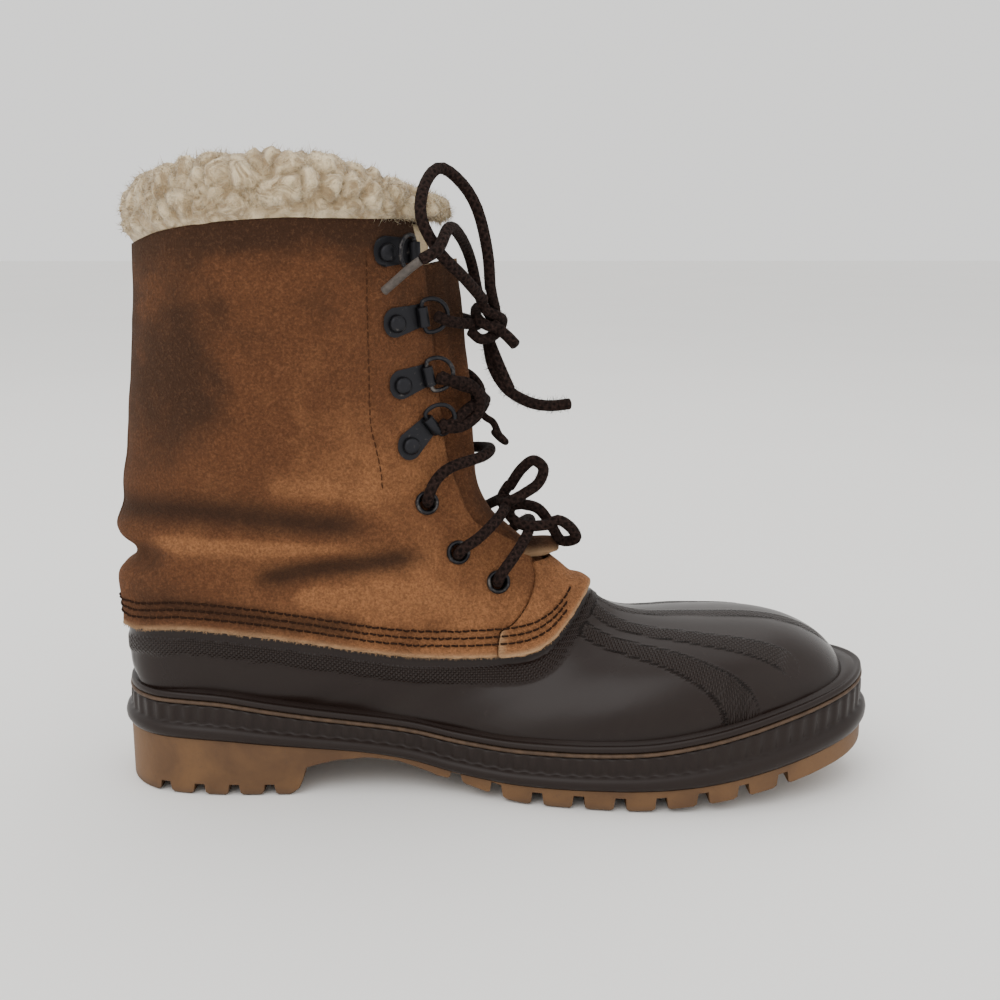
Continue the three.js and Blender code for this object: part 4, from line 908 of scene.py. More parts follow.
def felt_material(tree, shader, colours):
    speckle, height = place_nap(tree, 420.0)
    patches = cloud(tree, 26.0, 3.0, 0.5)
    base = mix_colour(tree, ramp(tree, patches, 0.3, 0.7), tuple(colours.fleece_shadow), tuple(colours.fleece))
    base = mix_colour(tree, times(tree, speckle, 0.35), base, FELT_SPECK)
    dress(tree, shader, base, 1.0, (height, 0.8, 0.002), Specular_IOR_Level=0.05)


def metal_material(tree, shader, colours, bare=0.0):
    wear = cloud(tree, 260.0, 5.0, 0.7, 0.5)
    spots = ramp(tree, wear, 0.62 - bare * 0.25, 0.72)
    base = mix_colour(tree, times(tree, spots, 0.6), tuple(colours.metal), BARE_METAL)
    dress(tree, shader, base, plus(tree, 0.33, times(tree, wear, 0.25)), (wear, 0.3, 0.0002), Metallic=0.85)


def lace_material(tree, shader, colours):
    run = times(tree, attribute(tree, "run"), 2 * math.pi / BRAID_PITCH)
    turn = times(tree, times(tree, attribute(tree, "turn"), 2 * math.pi), 4.0)
    one, two = (calc(tree, "SINE", calc(tree, way, run, turn)) for way in ("ADD", "SUBTRACT"))
    braid = calc(tree, "MAXIMUM", one, two)
    fuzz = cloud(tree, 1200.0, 3.0, 0.7)
    shade = plus(tree, times(tree, braid, 0.16), fuzz)
    base = mix_colour(tree, ramp(tree, shade, 0.3, 0.9), BRAID_SHADOW, tuple(colours.lace))
    base = mix_colour(tree, times(tree, ramp(tree, fuzz, 0.58, 0.78), 0.35), base, BRAID_FUZZ)
    height = plus(tree, times(tree, braid, 0.3), fuzz)
    dress(tree, shader, base, 0.95, (height, 0.7, 0.0005), Specular_IOR_Level=0.1)


def plain_material(tree, shader, _, colour, roughness, grain=600.0, shine=0.3):
    speckle = cloud(tree, grain, 3.0, 0.6)
    dark = tuple(c * 0.6 for c in colour)
    base = mix_colour(tree, ramp(tree, speckle, 0.3, 0.7), (*dark, 1), (*colour, 1))
    dress(tree, shader, base, roughness, (speckle, 0.3, 0.0002), Specular_IOR_Level=shine)


# Each finish: its slot in the record, the function that makes it and that function's own values
FINISHES = {
    "Suede": ("suede", suede_material, {}),
    "Shell rubber": ("shell_rubber", rubber_material, {}),
    "Band rubber": ("shell_rubber", rubber_material, {"knurled": False}),
    "Gum rubber": ("gum", gum_material, {}),
    "Soiled gum": ("gum", plain_material, {"colour": (0.085, 0.05, 0.029), "roughness": 0.6, "grain": 300.0}),
    "Fleece pile": ("fleece", fleece_material, {}),
    "Pressed felt": ("felt", felt_material, {}),
    "Worn black metal": ("black_metal", metal_material, {}),
    "Bare rim metal": ("black_metal", metal_material, {"bare": 0.7}),
    "Fuzzy cord": ("lace", lace_material, {}),
    "Brown thread": ("suede", plain_material, {"colour": (0.032, 0.016, 0.01), "roughness": 1.0, "shine": 0.05}),
    "Worn thread": ("suede", plain_material, {"colour": (0.07, 0.032, 0.017), "roughness": 1.0, "shine": 0.05}),
    "Tan fibre": ("suede", plain_material, {"colour": (0.4, 0.25, 0.14), "roughness": 1.0, "shine": 0.05}),
    "Grey tip": ("aglet", plain_material, {"colour": (0.085, 0.07, 0.06), "roughness": 0.5}),
}


def material_for(key):
    """Each finish is made once."""
    material = bpy.data.materials.get(key)
    if not material:
        material, tree, shader = new_material(key)
        _, make, values = FINISHES[key]
        make(tree, shader, bpy.context.scene.boot_colours, **values)
    return material


class BootSizes(bpy.types.PropertyGroup):
    """Sizes that change how the boot looks"""
    crease_depth: bpy.props.FloatProperty(
        name="Crease depth", description="How deep the ankle's creases are, 1 as worn", default=1.0, min=0, max=2)
    pile_length: bpy.props.FloatProperty(
        name="Pile length", description="Length of the fleece's hairs", default=0.0029, min=0.001, max=0.01,
        unit="LENGTH")
    flutes: bpy.props.IntProperty(
        name="Flutes", description="Number of flutes round the sole's side", default=112, min=40, max=200)
    flute_depth: bpy.props.FloatProperty(
        name="Flute depth", description="Depth of the flutes", default=0.0008, min=0, max=0.003, unit="LENGTH")
    stitch_length: bpy.props.FloatProperty(
        name="Stitch length", description="Length of a stitch with its gap", default=0.0034, min=0.002, max=0.008,
        unit="LENGTH")


def colour_property(name, description, default):
    return bpy.props.FloatVectorProperty(name=name, description=description, subtype="COLOR", size=4, min=0, max=1,
                                         default=(*default, 1))


class BootColours(bpy.types.PropertyGroup):
    """Colours of the boot's finishes"""
    suede_dark: colour_property("Suede dark", "Suede at the back and top", (0.05, 0.023, 0.013))
    suede_middle: colour_property("Suede", "Most of the suede", (0.142, 0.056, 0.025))
    # Suede light also gives the highlight painted on the raised ridges
    suede_light: colour_property("Suede light", "Worn ridges of the suede", (0.32, 0.138, 0.058))
    rubber: colour_property("Rubber", "Shell rubber", (0.0125, 0.0068, 0.0052))
    rubber_film: colour_property("Rubber film", "Dull film on the rubber", (0.022, 0.0155, 0.012))
    gum: colour_property("Gum", "Gum outsole", (0.14, 0.07, 0.027))
    gum_dark: colour_property("Gum dark", "Soiled gum", (0.085, 0.041, 0.017))
    fleece: colour_property("Fleece", "Ends of the pile", (0.80, 0.65, 0.42))
    fleece_shadow: colour_property("Fleece shadow", "Depth of the pile", (0.34, 0.24, 0.13))
    metal: colour_property("Metal", "Black coating of the metal", (0.02, 0.02, 0.023))
    lace: colour_property("Lace", "Lace cord", (0.03, 0.017, 0.014))


# Forms of the pieces


def boot_sizes():
    return bpy.context.scene.boot_sizes


def crease_fields(points):
    """Depth of the suede's creases at each point, with the shade painted into them and, where negative, the highlight
    painted on ridges.
    """
    flat = points[:, [0, 2]]
    depth = np.zeros(len(points))
    painted_shading = np.zeros(len(points))
    for route, width, deep, dark in CREASES:
        d, run, _, length = distance_to(flat, spline(route, 24))
        ends = smooth_step(0, 0.014, run) * smooth_step(0, 0.02, length - run)
        if route[0][0] < -0.04:
            ends = smooth_step(0, 0.02, length - run)
        bell = np.exp(-((d / width) ** 2))
        depth += deep * bell * ends
        # The dark column paints shade into a crease, and a highlight on a raised ridge where it is negative
        painted_shading += dark * np.exp(-((d / (0.8 * width)) ** 2)) * ends
    return depth, painted_shading


def near_metal(points):
    """1 beside a clip or an eyelet, where the suede is pressed flat."""
    seats = [seat[1] for seat in RING_SEATS.values()] + [seat[4] for seat in RING_SEATS.values()]
    seats += [seat[0] for seat in EYELET_SEATS.values()]
    nearest = np.min([np.linalg.norm(points - np.array(seat) * 0.001, axis=1) for seat in seats], axis=0)
    return smooth_step(0.02, 0.007, nearest)


def suede_waves(points):
    """Shallow unevenness of worn suede."""
    return clear_noise(points, 22.0, 2) * 0.0011 + clear_noise(points, 70.0, 2, 7.0) * 0.00035


def suede_values(grid):
    """Moved points of a suede sheet with its tones, raw edges and painted shading."""
    shape = grid.shape[:2]
    normals = grid_normals(grid, closed=False).reshape(-1, 3)
    points = grid.reshape(-1, 3)
    depth, painted_shading = crease_fields(points)
    lift = (suede_waves(points) - depth * boot_sizes().crease_depth) * (1 - near_metal(points))
    moved = points + normals * lift[:, None]
    x, z = points[:, 0], points[:, 2]
    tone = 0.5 + 0.22 * smooth_step(0.16, 0.07, z) - 0.22 * smooth_step(0.15, 0.24, z)
    tone -= 0.22 * smooth_step(0.212, 0.232, z) + 0.22 * smooth_step(0.0, -0.045, x) * smooth_step(0.07, 0.13, z)
    tone -= 0.18 * smooth_step(0.03, -0.03, x) * smooth_step(0.115, 0.09, z)
    tone += 0.16 * smooth_step(0.02, 0.09, x) * smooth_step(0.2, 0.13, z)
    tone += 0.12 * np.exp(-(((x - 0.05) / 0.03) ** 2 + ((z - 0.185) / 0.02) ** 2))
    tone -= 0.3 * np.exp(-(((x + 0.01) / 0.02) ** 2 + ((z - 0.165) / 0.035) ** 2))
    # Painted highlight: the negative crease values lighten the raised ridges
    tone -= np.minimum(painted_shading, 0) * 0.8
    raw = np.exp(-(((z - hem_z(x)) / 0.0013) ** 2)) * 0.8
    above = z - hem_z(x)
    # Painted shade in the stitched band just above the hem, for the grooves of the stitch rows
    stitched = smooth_step(0.0035, 0.005, above) * smooth_step(0.0135, 0.0115, above)
    painted_shading = np.clip(painted_shading, 0, 1) * 0.82 + 0.12 * stitched
    stay = smooth_step(STAY_WIDTH + 0.0006, STAY_WIDTH - 0.0006, np.abs(points[:, 1])) * (x < 0) * (z > 0.105)
    stay *= smooth_step(0.105, 0.112, z)
    moved += normals * (0.0007 * stay)[:, None]
    # Painted shade along the raised strip down the back seam
    painted_shading += 0.3 * stay
    # Darker at the top front, round the top clips
    painted_shading += 0.5 * np.exp(-(((x - 0.079) / 0.008) ** 2)) * smooth_step(0.213, 0.222, z)
    values = {"tone": tone, "painted_shading": np.clip(painted_shading, 0, 0.85), "raw": raw}
    return moved.reshape(grid.shape), {k: v.reshape(shape) for k, v in values.items()}


def quarter_edge(points):
    """How far points lie behind the front edge of the quarters."""
    return x_of(curve_through(QUARTER_FRONT, points[:, 2] / SHAFT_HEIGHT)) - points[:, 0]


def above_hem(points):
    ragged = 0.0002 * np.sin(points[:, 0] * 900) + 0.00015 * np.sin(points[:, 0] * 1510 + points[:, 1] * 500)
    return points[:, 2] - hem_z(points[:, 0]) + ragged


def collar_z(x):
    return SHAFT_HEIGHT * curve_through(COLLAR_LINE, along_of(x))


def make_upper():
    grid = form_grid(0.0, 0.3, 13.5, 220, 301)
    moved, values = suede_values(grid)
    bm = grid_mesh(moved, values, closed=True, flip=True)
    trim(bm, lambda p: collar_z(p[:, 0]) - p[:, 2])
    trim(bm, quarter_edge)
    trim(bm, above_hem)
    for place, _, _ in EYELET_SEATS.values():
        centre = np.array(place) * 0.001
        trim(bm, lambda p, c=centre: np.linalg.norm(p - c, axis=1) - EYELET_CUT)
    new_piece("suede_quarters", bm, "Suede", node="upper", wall=SUEDE_WALL)


def make_vamp():
    grid = form_grid(0.0006, 6.5, 17.0, 140, 301)
    shape = grid.shape[:2]
    moved, values = suede_values(grid)
    points = moved.reshape(-1, 3)
    strip = smooth_step(x_of(0.575), x_of(0.54), points[:, 0]) * 0.0008
    normals = grid_normals(grid, closed=False).reshape(-1, 3)
    moved = (points + normals * strip[:, None]).reshape(grid.shape)
    values["tone"] = values["tone"] + 0.14
    edge = np.abs(points[:, 0] - x_of(0.506))
    values["raw"] = np.maximum(values["raw"], (0.7 * np.exp(-((edge / 0.0016) ** 2))).reshape(shape))
    bm = grid_mesh(moved, values, closed=True, flip=True)

    def keep(p):
        front = p[:, 0] - x_of(curve_through(QUARTER_FRONT, p[:, 2] / SHAFT_HEIGHT)) - GAP
        return np.minimum(front, 0.4 * SHAFT_HEIGHT - p[:, 2])

    trim(bm, keep)
    trim(bm, above_hem)
    new_piece("suede_vamp", bm, "Suede", node="vamp", wall=SUEDE_WALL)


def make_tongue():
    at = np.linspace(-2.6, 2.6, 91)
    turns = 0.5 + at / AROUND
    base = form_rows(turns, -LAP)
    places = np.linspace(0.4, 10, 150)
    grid = blend_rows(base, places)
    bulge = TONGUE_BULGE * curve_through(TONGUE_STEPS, at)[None, :]
    rows = curve_through(list(enumerate(TONGUE_BULGES)), places)[:, None]
    grid[:, :, 0] += bulge * rows
    fold = np.exp(-(((np.abs(at) - 0.62) / 0.12) ** 2))[None, :] * rows
    grid[:, :, 0] -= 0.0012 * fold
    shape = grid.shape[:2]
    points = grid.reshape(-1, 3)
    normals = grid_normals(grid, closed=False).reshape(-1, 3)
    wave = clear_noise(points, 60.0, 2, 3.0) * 0.0006
    inner = (np.abs(at) < 1.0)[None, :].repeat(shape[0], axis=0).reshape(-1)
    moved = points + normals * (wave * inner)[:, None]
    z = points[:, 2]
    tone = 0.42 - 0.2 * smooth_step(0.15, 0.22, z) + 0.2 * smooth_step(0.13, 0.09, z)
    # Painted shade along the tongue's folds
    values = {"tone": tone.reshape(shape), "painted_shading": (0.35 * fold).reshape(shape),
              "raw": np.exp(-(((z - TONGUE_TOP) / 0.001) ** 2)).reshape(shape) * 0.7}
    bm = grid_mesh(moved.reshape(grid.shape), values, flip=True)
    trim(bm, lambda p: TONGUE_TOP - 0.006 * (p[:, 1] / 0.02) ** 2 - p[:, 2])
    trim(bm, lambda p: p[:, 2] - hem_z(p[:, 0]) + SHELL_LAP - GAP)
    new_piece("suede_tongue", bm, "Suede", node="tongue", wall=TONGUE_WALL)
    tab = np.linspace(0, 1, 25)
    rows = []
    for k, u in enumerate(tab):
        half = 0.0098 * math.sqrt(max(0.0, 1 - max(0.0, (u - 0.55) / 0.45) ** 2.4)) + 0.0004
        lift = 0.0985 + 0.0016 * math.sin(u * math.pi * 0.6)
        rows.append([(0.1205 + 0.0215 * u, half * v, lift - 0.0042 * v * v) for v in np.linspace(-1, 1, 17)])
    grid = np.array(rows)
    flat = {"tone": np.full(grid.shape[:2], 0.35), "painted_shading": np.zeros(grid.shape[:2]),
            "raw": np.tile(np.maximum(0, (np.abs(np.linspace(-1, 1, 17)) - 0.7) / 0.3) * 0.6, (25, 1))}
    tab_piece = new_piece("throat_tab", grid_mesh(grid, flat), "Suede")
    thicken(tab_piece, TAB_THICKNESS, 0.0)
    soften(tab_piece, 0.0006)


def make_shell():
    grid = form_grid(-LAP, 5.5, len(SECTIONS) - 1, 185, 241, cap=12)
    shape = grid.shape[:2]
    points = grid.reshape(-1, 3)
    normals = grid_normals(grid).reshape(-1, 3)
    x, z = points[:, 0], points[:, 2]
    below = hem_z(x) - BAND_DROP - z
    edge = BAND_EDGE
    band = smooth_step(-edge / 2, edge / 2, below)
    band *= smooth_step(BAND_WIDTH + edge / 2, BAND_WIDTH - edge / 2, below)
    knurl = band.copy()
    run = x * 1.0
    side = z - hem_z(x)
    for rib in TOE_RIBS:
        route = spline([(x_of(a), out * BALL_WIDTH) for a, out in rib], 30)
        d, along, sideways, length = distance_to(points[:, :2], route)
        above = np.flatnonzero(z > 0.036)
        nearest = [above[np.argmin(((points[above, :2] - spot) ** 2).sum(axis=1))] for spot in route]
        climbs = np.abs(np.diff(z[nearest]))
        flat_steps = np.linalg.norm(np.diff(route, axis=0), axis=1)
        true_run = np.concatenate([[0], np.cumsum(np.hypot(flat_steps, climbs))])
        travelled = np.interp(along, np.concatenate([[0], np.cumsum(flat_steps)]), true_run)
        half = RIB_WIDTH / 2 * (0.6 + 0.4 * along / length)
        strip = smooth_step(half + edge / 2, half - edge / 2, d)
        strip *= smooth_step(0, 0.004, below) * (z > 0.03)
        fade = smooth_step(-0.001, 0.006, length - along)
        strip *= fade
        stronger = strip > knurl
        run = np.where(stronger, travelled, run)
        side = np.where(stronger, sideways, side)
        knurl = np.maximum(knurl, strip)
    lip = 0.0006 * smooth_step(0.0025, 0.0, hem_z(x) - z)
    amount = (0.35 * BAND_PROUD + 0.65 * BAND_PROUD * band) * knurl + lip
    moved = points + normals * amount[:, None]
    values = {"knurl": knurl, "run": run, "side": side}
    bm = grid_mesh(moved.reshape(grid.shape), {k: v.reshape(shape) for k, v in values.items()}, closed=True,
                   flip=True)
    trim(bm, lambda p: hem_z(p[:, 0]) + SHELL_LAP - p[:, 2])
    new_piece("rubber_shell", bm, "Shell rubber", node="shell", wall=RUBBER_WALL)


def ring_grid(count, profile, flutes=0, depth=0.0):
    """Rows of a ring round the sole. profile holds inset, height function and fluted or not."""
    loops = [outline_loop(count, inset) for inset, _, _ in profile]
    base = outline_loop(count, 0)
    way = np.roll(base, -1, axis=0) - np.roll(base, 1, axis=0)
    way /= np.linalg.norm(way, axis=1)[:, None]
    inward = np.stack([-way[:, 1], way[:, 0]], axis=1)
    phase = np.arange(count) * flutes / count
    scallop = depth * smooth_step(0.45, 0.95, np.abs(np.sin(math.pi * phase))) if flutes else np.zeros(count)
    grid = np.zeros((count + 1, len(profile) + 1, 3))
    for k, (_, height, share) in enumerate(profile):
        flat = loops[k] + inward * (scallop * share)[:, None]
        grid[:count, k, :2] = flat
        grid[:count, k, 2] = height(flat[:, 0])
    grid[count] = grid[0]
    grid[:, -1] = grid[:, 0]
    return grid


def stripe_top(x):
    return ledge_z(x) - RIM_HEIGHT


def band_top(x):
    return stripe_top(x) - STRIPE_HEIGHT


def band_level(share):
    return lambda x: gum_top(x) + GAP + share * (band_top(x) - gum_top(x) - GAP)


def make_foxing():
    """The rim, the gum stripe and the fluted band with its bead."""
    rim_profile = [
        (0.0122, lambda x: stripe_top(x) + 0.0001, 0), (0.0016, lambda x: stripe_top(x) + 0.0001, 0),
        (0.0009, lambda x: stripe_top(x) + 0.0005, 0), (0.0007, lambda x: stripe_top(x) + 0.0013, 0),
        (0.0009, lambda x: ledge_z(x) - 0.0007, 0), (0.0015, lambda x: ledge_z(x) - 0.0001, 0),
        (0.0024, lambda x: ledge_z(x) - 0.0002, 0), (0.0032, lambda x: ledge_z(x) - 0.0006, 0),
        (0.0040, lambda x: ledge_z(x) - 0.0004, 0), (0.0050, lambda x: ledge_z(x) + 0.0006, 0),
        (0.0122, lambda x: ledge_z(x) + 0.0006, 0),
    ]
    new_piece("shell_rim", grid_mesh(ring_grid(480, rim_profile), closed=True), "Band rubber")
    stripe_profile = [
        (0.0040, band_top, 0), (0.0009, band_top, 0), (0.0004, lambda x: band_top(x) + 0.0004, 0),
        (0.0003, lambda x: band_top(x) + 0.0008, 0), (0.0004, lambda x: stripe_top(x) - 0.0003, 0),
        (0.0010, stripe_top, 0), (0.0040, stripe_top, 0),
    ]
    new_piece("gum_stripe", grid_mesh(ring_grid(480, stripe_profile), closed=True),
              "Soiled gum", node="accent_stripe")
    band_profile = [
        (0.0040, band_level(0), 0), (-0.0002, band_level(0), 0), (-0.0011, band_level(0.03), 0),
        (-0.0019, band_level(0.12), 0), (-0.0021, band_level(0.22), 0), (-0.0017, band_level(0.32), 0),
        (-0.0006, band_level(0.4), 0), (0.0003, band_level(0.425), 0.1), (0.0005, band_level(0.46), 0.6),
        (0.0004, band_level(0.52), 1), (0.0003, band_level(0.7), 1), (0.0004, band_level(0.88), 1),
        (0.0006, band_level(0.95), 0.6), (0.0014, band_level(0.97), 0), (0.0016, band_level(1.0), 0),
        (0.0040, band_level(1.0), 0),
    ]
    sizes = boot_sizes()
    grid = ring_grid(sizes.flutes * 8, band_profile, sizes.flutes, sizes.flute_depth)
    new_piece("fluted_band", grid_mesh(grid, closed=True), "Band rubber", node="sidewall")


def tread_base(along):
    """Height of the tread's lowest surface."""
    x = x_of(along)
    toe = np.maximum(0, (along - SPRING_START) / (1 - SPRING_START))
    forefoot = np.maximum(FOREFOOT_RAMP * (1 - smooth_step(FOREFOOT_START - 0.02, FOREFOOT_FLAT, along)),
                          TOE_SPRING * toe**1.4)
    line = [(-0.05, 0), (HEEL_LENGTH, 0)]
    line += [(HEEL_LENGTH + ahead * BREAST_REACH / SOLE_LENGTH, up * ARCH_HEIGHT) for ahead, up in BREAST]
    line += [(a, min(up * ARCH_HEIGHT, float(gum_top(x_of(a))) - ARCH_WALL)) for a, up in SHANK]
    line.append((FOREFOOT_START, FOREFOOT_RAMP))
    keys, heights = zip(*line)
    arch = np.interp(along, keys, heights)
    base = np.where(along < FOREFOOT_START, arch, forefoot)
    return np.minimum(base, gum_top(x) - ARCH_WALL)


def make_outsole():
    width = half_widths(0)
    ends = 0.5 - 0.5 * np.cos(np.linspace(0, math.pi, 230))
    alongs = list(ends * 0.9994 + 0.0003)
    edge = NOTCH_EDGE
    notches = [(n, HEEL_NOTCH_DEPTH) for n in HEEL_NOTCHES] + [(n, LUG_NOTCH_DEPTH) for n in LUG_NOTCHES]
    for place, _ in notches:
        for side in (-1, 1):
            middle = place + side * NOTCH_WIDTH / 2
            alongs += [(middle + step) / SOLE_LENGTH for step in (-edge, edge, side * LUG_ROUND)]
    for a in [HEEL_LENGTH + ahead * BREAST_REACH / SOLE_LENGTH for ahead, _ in BREAST]:
        alongs += [a - 0.001, a + 0.001]
    alongs = np.array(sorted(alongs))
    alongs = alongs[np.concatenate([[True], np.diff(alongs) > 0.0003])]
    shares = np.concatenate([[-1, -0.985, -0.96], np.linspace(-0.9, 0.9, 31), [0.96, 0.985, 1]])
    rows = []
    for a in alongs:
        x = x_of(a)
        w_in, w_out = float(width(x, -1)), float(width(x, 1))
        y = np.where(shares < 0, shares * w_in, shares * w_out)
        if w_out == 0 or w_in == 0:
            middle = -TOE_SHIFT * BALL_WIDTH * smooth_step(0.9, 1, a)
            y = middle + shares * np.where(shares < 0, max(w_in + middle, 0.0004), max(w_out, 0.0004))
        base = float(tread_base(np.array([a]))[0])
        z = np.full(len(y), base)
        apart = a * SOLE_LENGTH
        for place, deep in notches:
            if abs(apart - place) < NOTCH_WIDTH / 2:
                reach = np.where(y < 0, w_in, w_out) - NOTCH_REACH
                z = np.where(np.abs(y) > reach, np.minimum(base + deep, gum_top(x) - 0.0008), z)
        middle_notch = (apart - LUG_NOTCHES[0] + LUG_PITCH / 2) % LUG_PITCH
        if 0.43 < a < 0.93 and abs(middle_notch - LUG_PITCH / 2) < 0.002:
            z = np.where(np.abs(y + 0.002) < 0.026, base + 0.0038, z)
        past = min(abs(abs(apart - place) - NOTCH_WIDTH / 2) for place, _ in notches)
        outside = all(abs(apart - place) > NOTCH_WIDTH / 2 for place, _ in notches)
        corner = 0.0007 * max(0.0, 1 - (past - edge) / (LUG_ROUND - edge)) if outside else 0.0
        z = z + np.where(np.abs(y) > np.where(y < 0, w_in, w_out) - NOTCH_REACH, corner, 0)
        lift = 0.0009 * np.maximum(0, (np.abs(shares) - 0.975) / 0.025)
        z = z + lift
        top = float(gum_top(x))
        bottom = [(x, yy, zz) for yy, zz in zip(y, z)]
        right = [(x, y[-1], zz) for zz in np.linspace(z[-1], top, 7)[1:]]
        over = [(x, yy, top) for yy in np.linspace(y[-1], y[0], 9)[1:]]
        left = [(x, y[0], zz) for zz in np.linspace(top, z[0], 7)[1:]]
        rows.append(bottom + right + over + left)
    grid = np.array(rows)
    bm = grid_mesh(grid, {}, closed=True)
    for cap in (0, -1):
        ring = grid[cap]
        edges = [e for e in bm.edges if e.is_boundary and abs(e.verts[0].co.x - ring[0][0]) < 1e-6]
        bmesh.ops.holes_fill(bm, edges=edges, sides=0)
    piece = new_piece("gum_outsole", bm, "Gum rubber", node="outsole")
    for polygon in piece.data.polygons:
        polygon.use_smooth = len(polygon.vertices) == 4
    sharp = piece.modifiers.new("Creased edges", "EDGE_SPLIT")
    sharp.split_angle = math.radians(38)
    return piece


def make_liner():
    grid = form_grid(-LINER_OUTSIDE, 0.3, len(SECTIONS) - 1, 130, 161, cap=6)
    points = grid.reshape(-1, 3)
    normals = grid_normals(grid).reshape(-1, 3)
    wave = clear_noise(points, 90.0, 2, 5.0) * 0.0005
    depth, _ = crease_fields(points)
    x, y, z = points.T
    instep = np.exp(-(((x - 0.095) / 0.03) ** 2 + (y / 0.03) ** 2 + ((z - 0.1) / 0.03) ** 2))
    inward = np.abs(wave) + np.maximum(depth, 0) * boot_sizes().crease_depth + 0.0008 + 0.004 * instep
    inward += 0.0045 * smooth_step(0.075, 0.055, z)
    moved = (points - normals * inward[:, None]).reshape(grid.shape)
    bm = grid_mesh(moved, {}, closed=True, flip=True)
    trim(bm, lambda p: collar_z(p[:, 0]) - 0.002 - p[:, 2])
    new_piece("felt_liner", bm, "Pressed felt", node="liner", wall=FELT_WALL)


def cuff_profile(count):
    """Offset from the suede's face and height above the collar, over the roll from outside in."""
    outer = [(-0.0004, -0.0004), (0.0006, 0.002), (0.0014, 0.006), (0.0016, 0.011), (0.0008, 0.017),
             (-0.0015, 0.0215), (-0.0045, 0.0235), (-0.009, 0.0225), (-0.0135, 0.0185), (-0.0155, 0.012), (-0.016, 0.003),
             (-0.0155, -0.008), (-0.0140, -0.018), (-0.0115, -0.024)]
    return spline(outer, count)


def shaft_points(turns, out, heights):
    """Points of the shaft at given turns, offsets and heights."""
    found = np.zeros((len(heights), 3))
    for value in np.unique(np.round(out, 6)):
        chosen = np.abs(out - value) < 1e-6
        rows = blend_rows(form_rows(turns[chosen], value), np.linspace(0, 3, 40))
        for n, index in enumerate(np.flatnonzero(chosen)):
            column = rows[:, n]
            order = np.argsort(column[:, 2])
            z = heights[index]
            found[index] = [np.interp(z, column[order, 2], column[order, 0]),
                            np.interp(z, column[order, 2], column[order, 1]), z]
    return found


def cuff_grid(rows, columns):
    turns = np.linspace(0, 1, columns)
    profile = cuff_profile(rows)
    base = shaft_points(turns, np.zeros(columns), np.full(columns, SHAFT_HEIGHT))
    collar = collar_z(base[:, 0])
    rise = CUFF_TOP * curve_through(CUFF_LINE, along_of(base[:, 0])) - collar
    grid = []
    for out, up in profile:
        scale = np.where(up > 0, rise / CUFF_RISE, 1.0)
        out = round(float(out), 5)
        grid.append(shaft_points(turns, np.full(columns, out), collar + up * scale))
    return np.array(grid)


def lump(points):
    """Clumps of the pile: rounded cells, with shade painted into the hollows between them."""
    noise.seed_set(NOISE_SEED)
    height = np.zeros(len(points))
    deep = np.zeros(len(points))
    for i, p in enumerate(points):
        v = Vector(p)
        warp = noise.noise_vector(v * 60) * 0.004
        near = noise.voronoi((v + warp) * 105)[0]
        fine = noise.voronoi((v + warp) * 260)[0]
        edge = min(1.0, (near[1] - near[0]) * 2.2)
        height[i] = 0.003 * edge**0.6 + 0.0008 * min(1.0, (fine[1] - fine[0]) * 2)
        # deep paints shade into the hollows between clumps
        deep[i] = 1 - edge**0.5
    return height, deep


def hairs(bm, roots, ways, lengths, radius, seed, curl=0.4):
    """Thin bent hairs, each a few faces."""
    rng = random.Random(seed)
    layer = bm.verts.layers.float.get("deep")
    for root, way, length in zip(roots, ways, lengths):
        root, way = Vector(root), Vector(way).normalized()
        side = way.orthogonal().normalized()
        side.rotate(Matrix.Rotation(rng.uniform(0, 6.28), 3, way))
        other = way.cross(side)
        bend = side * rng.uniform(-curl, curl) + other * rng.uniform(-curl, curl)
        middle = root + way * length * 0.55 + bend * length * 0.35
        tip = root + way * length * 0.9 + bend * length * 1.0
        low = [bm.verts.new(root + (side * math.cos(a) + other * math.sin(a)) * radius) for a in (0, 2.09, 4.19)]
        mid = [bm.verts.new(middle + (side * math.cos(a) + other * math.sin(a)) * radius * 0.7)
               for a in (0, 2.09, 4.19)]
        end = bm.verts.new(tip)
        # Painted shade at each hair's root, less halfway up
        if layer:
            for v in low:
                v[layer] = 0.8
            for v in mid:
                v[layer] = 0.2
        for k in range(3):
            n = (k + 1) % 3
            bm.faces.new((low[k], low[n], mid[n], mid[k]))
            bm.faces.new((mid[k], mid[n], end))


def make_cuff():
    grid = cuff_grid(CUFF_ROWS, CUFF_COLUMNS)
    normals = grid_normals(grid)
    outer = normals[20] * (grid[20] - grid[20].mean(axis=0))
    if outer.sum() < 0:
        normals = -normals
    points = grid.reshape(-1, 3)
    height, deep = lump(points)
    row = np.arange(float(CUFF_ROWS))
    fade = np.repeat(smooth_step(0, 6, row) * smooth_step(CUFF_ROWS - 1, CUFF_ROWS - 6, row), CUFF_COLUMNS)
    moved = points + normals.reshape(-1, 3) * (height * fade)[:, None]
    bm = grid_mesh(moved.reshape(grid.shape), {"deep": deep.reshape(grid.shape[:2])}, closed=True)
    rng = random.Random(11)
    chosen = [rng.randrange(len(points)) for _ in range(CUFF_HAIRS)]
    chosen = [c for c in chosen if deep[c] < 0.75 and 4 * CUFF_COLUMNS < c < 50 * CUFF_COLUMNS]
    front = [i for i in range(4 * CUFF_COLUMNS) if points[i][0] > 0.07]
    chosen += [front[rng.randrange(len(front))] for _ in range(500)]
    droop = np.array([0, 0, -0.25])
    ways = normals.reshape(-1, 3)[chosen] + droop + np.array([[rng.uniform(-0.6, 0.6) for _ in range(3)]
                                                              for _ in chosen])
    lengths = [boot_sizes().pile_length * rng.uniform(0.45, 1.1) for _ in chosen]
    hairs(bm, moved[chosen] - normals.reshape(-1, 3)[chosen] * 0.0005, ways, lengths, FLEECE_HAIR, 5, curl=1.3)
    new_piece("fleece_roll", bm, "Fleece pile", node="fleece_cuff", recalculate=False)


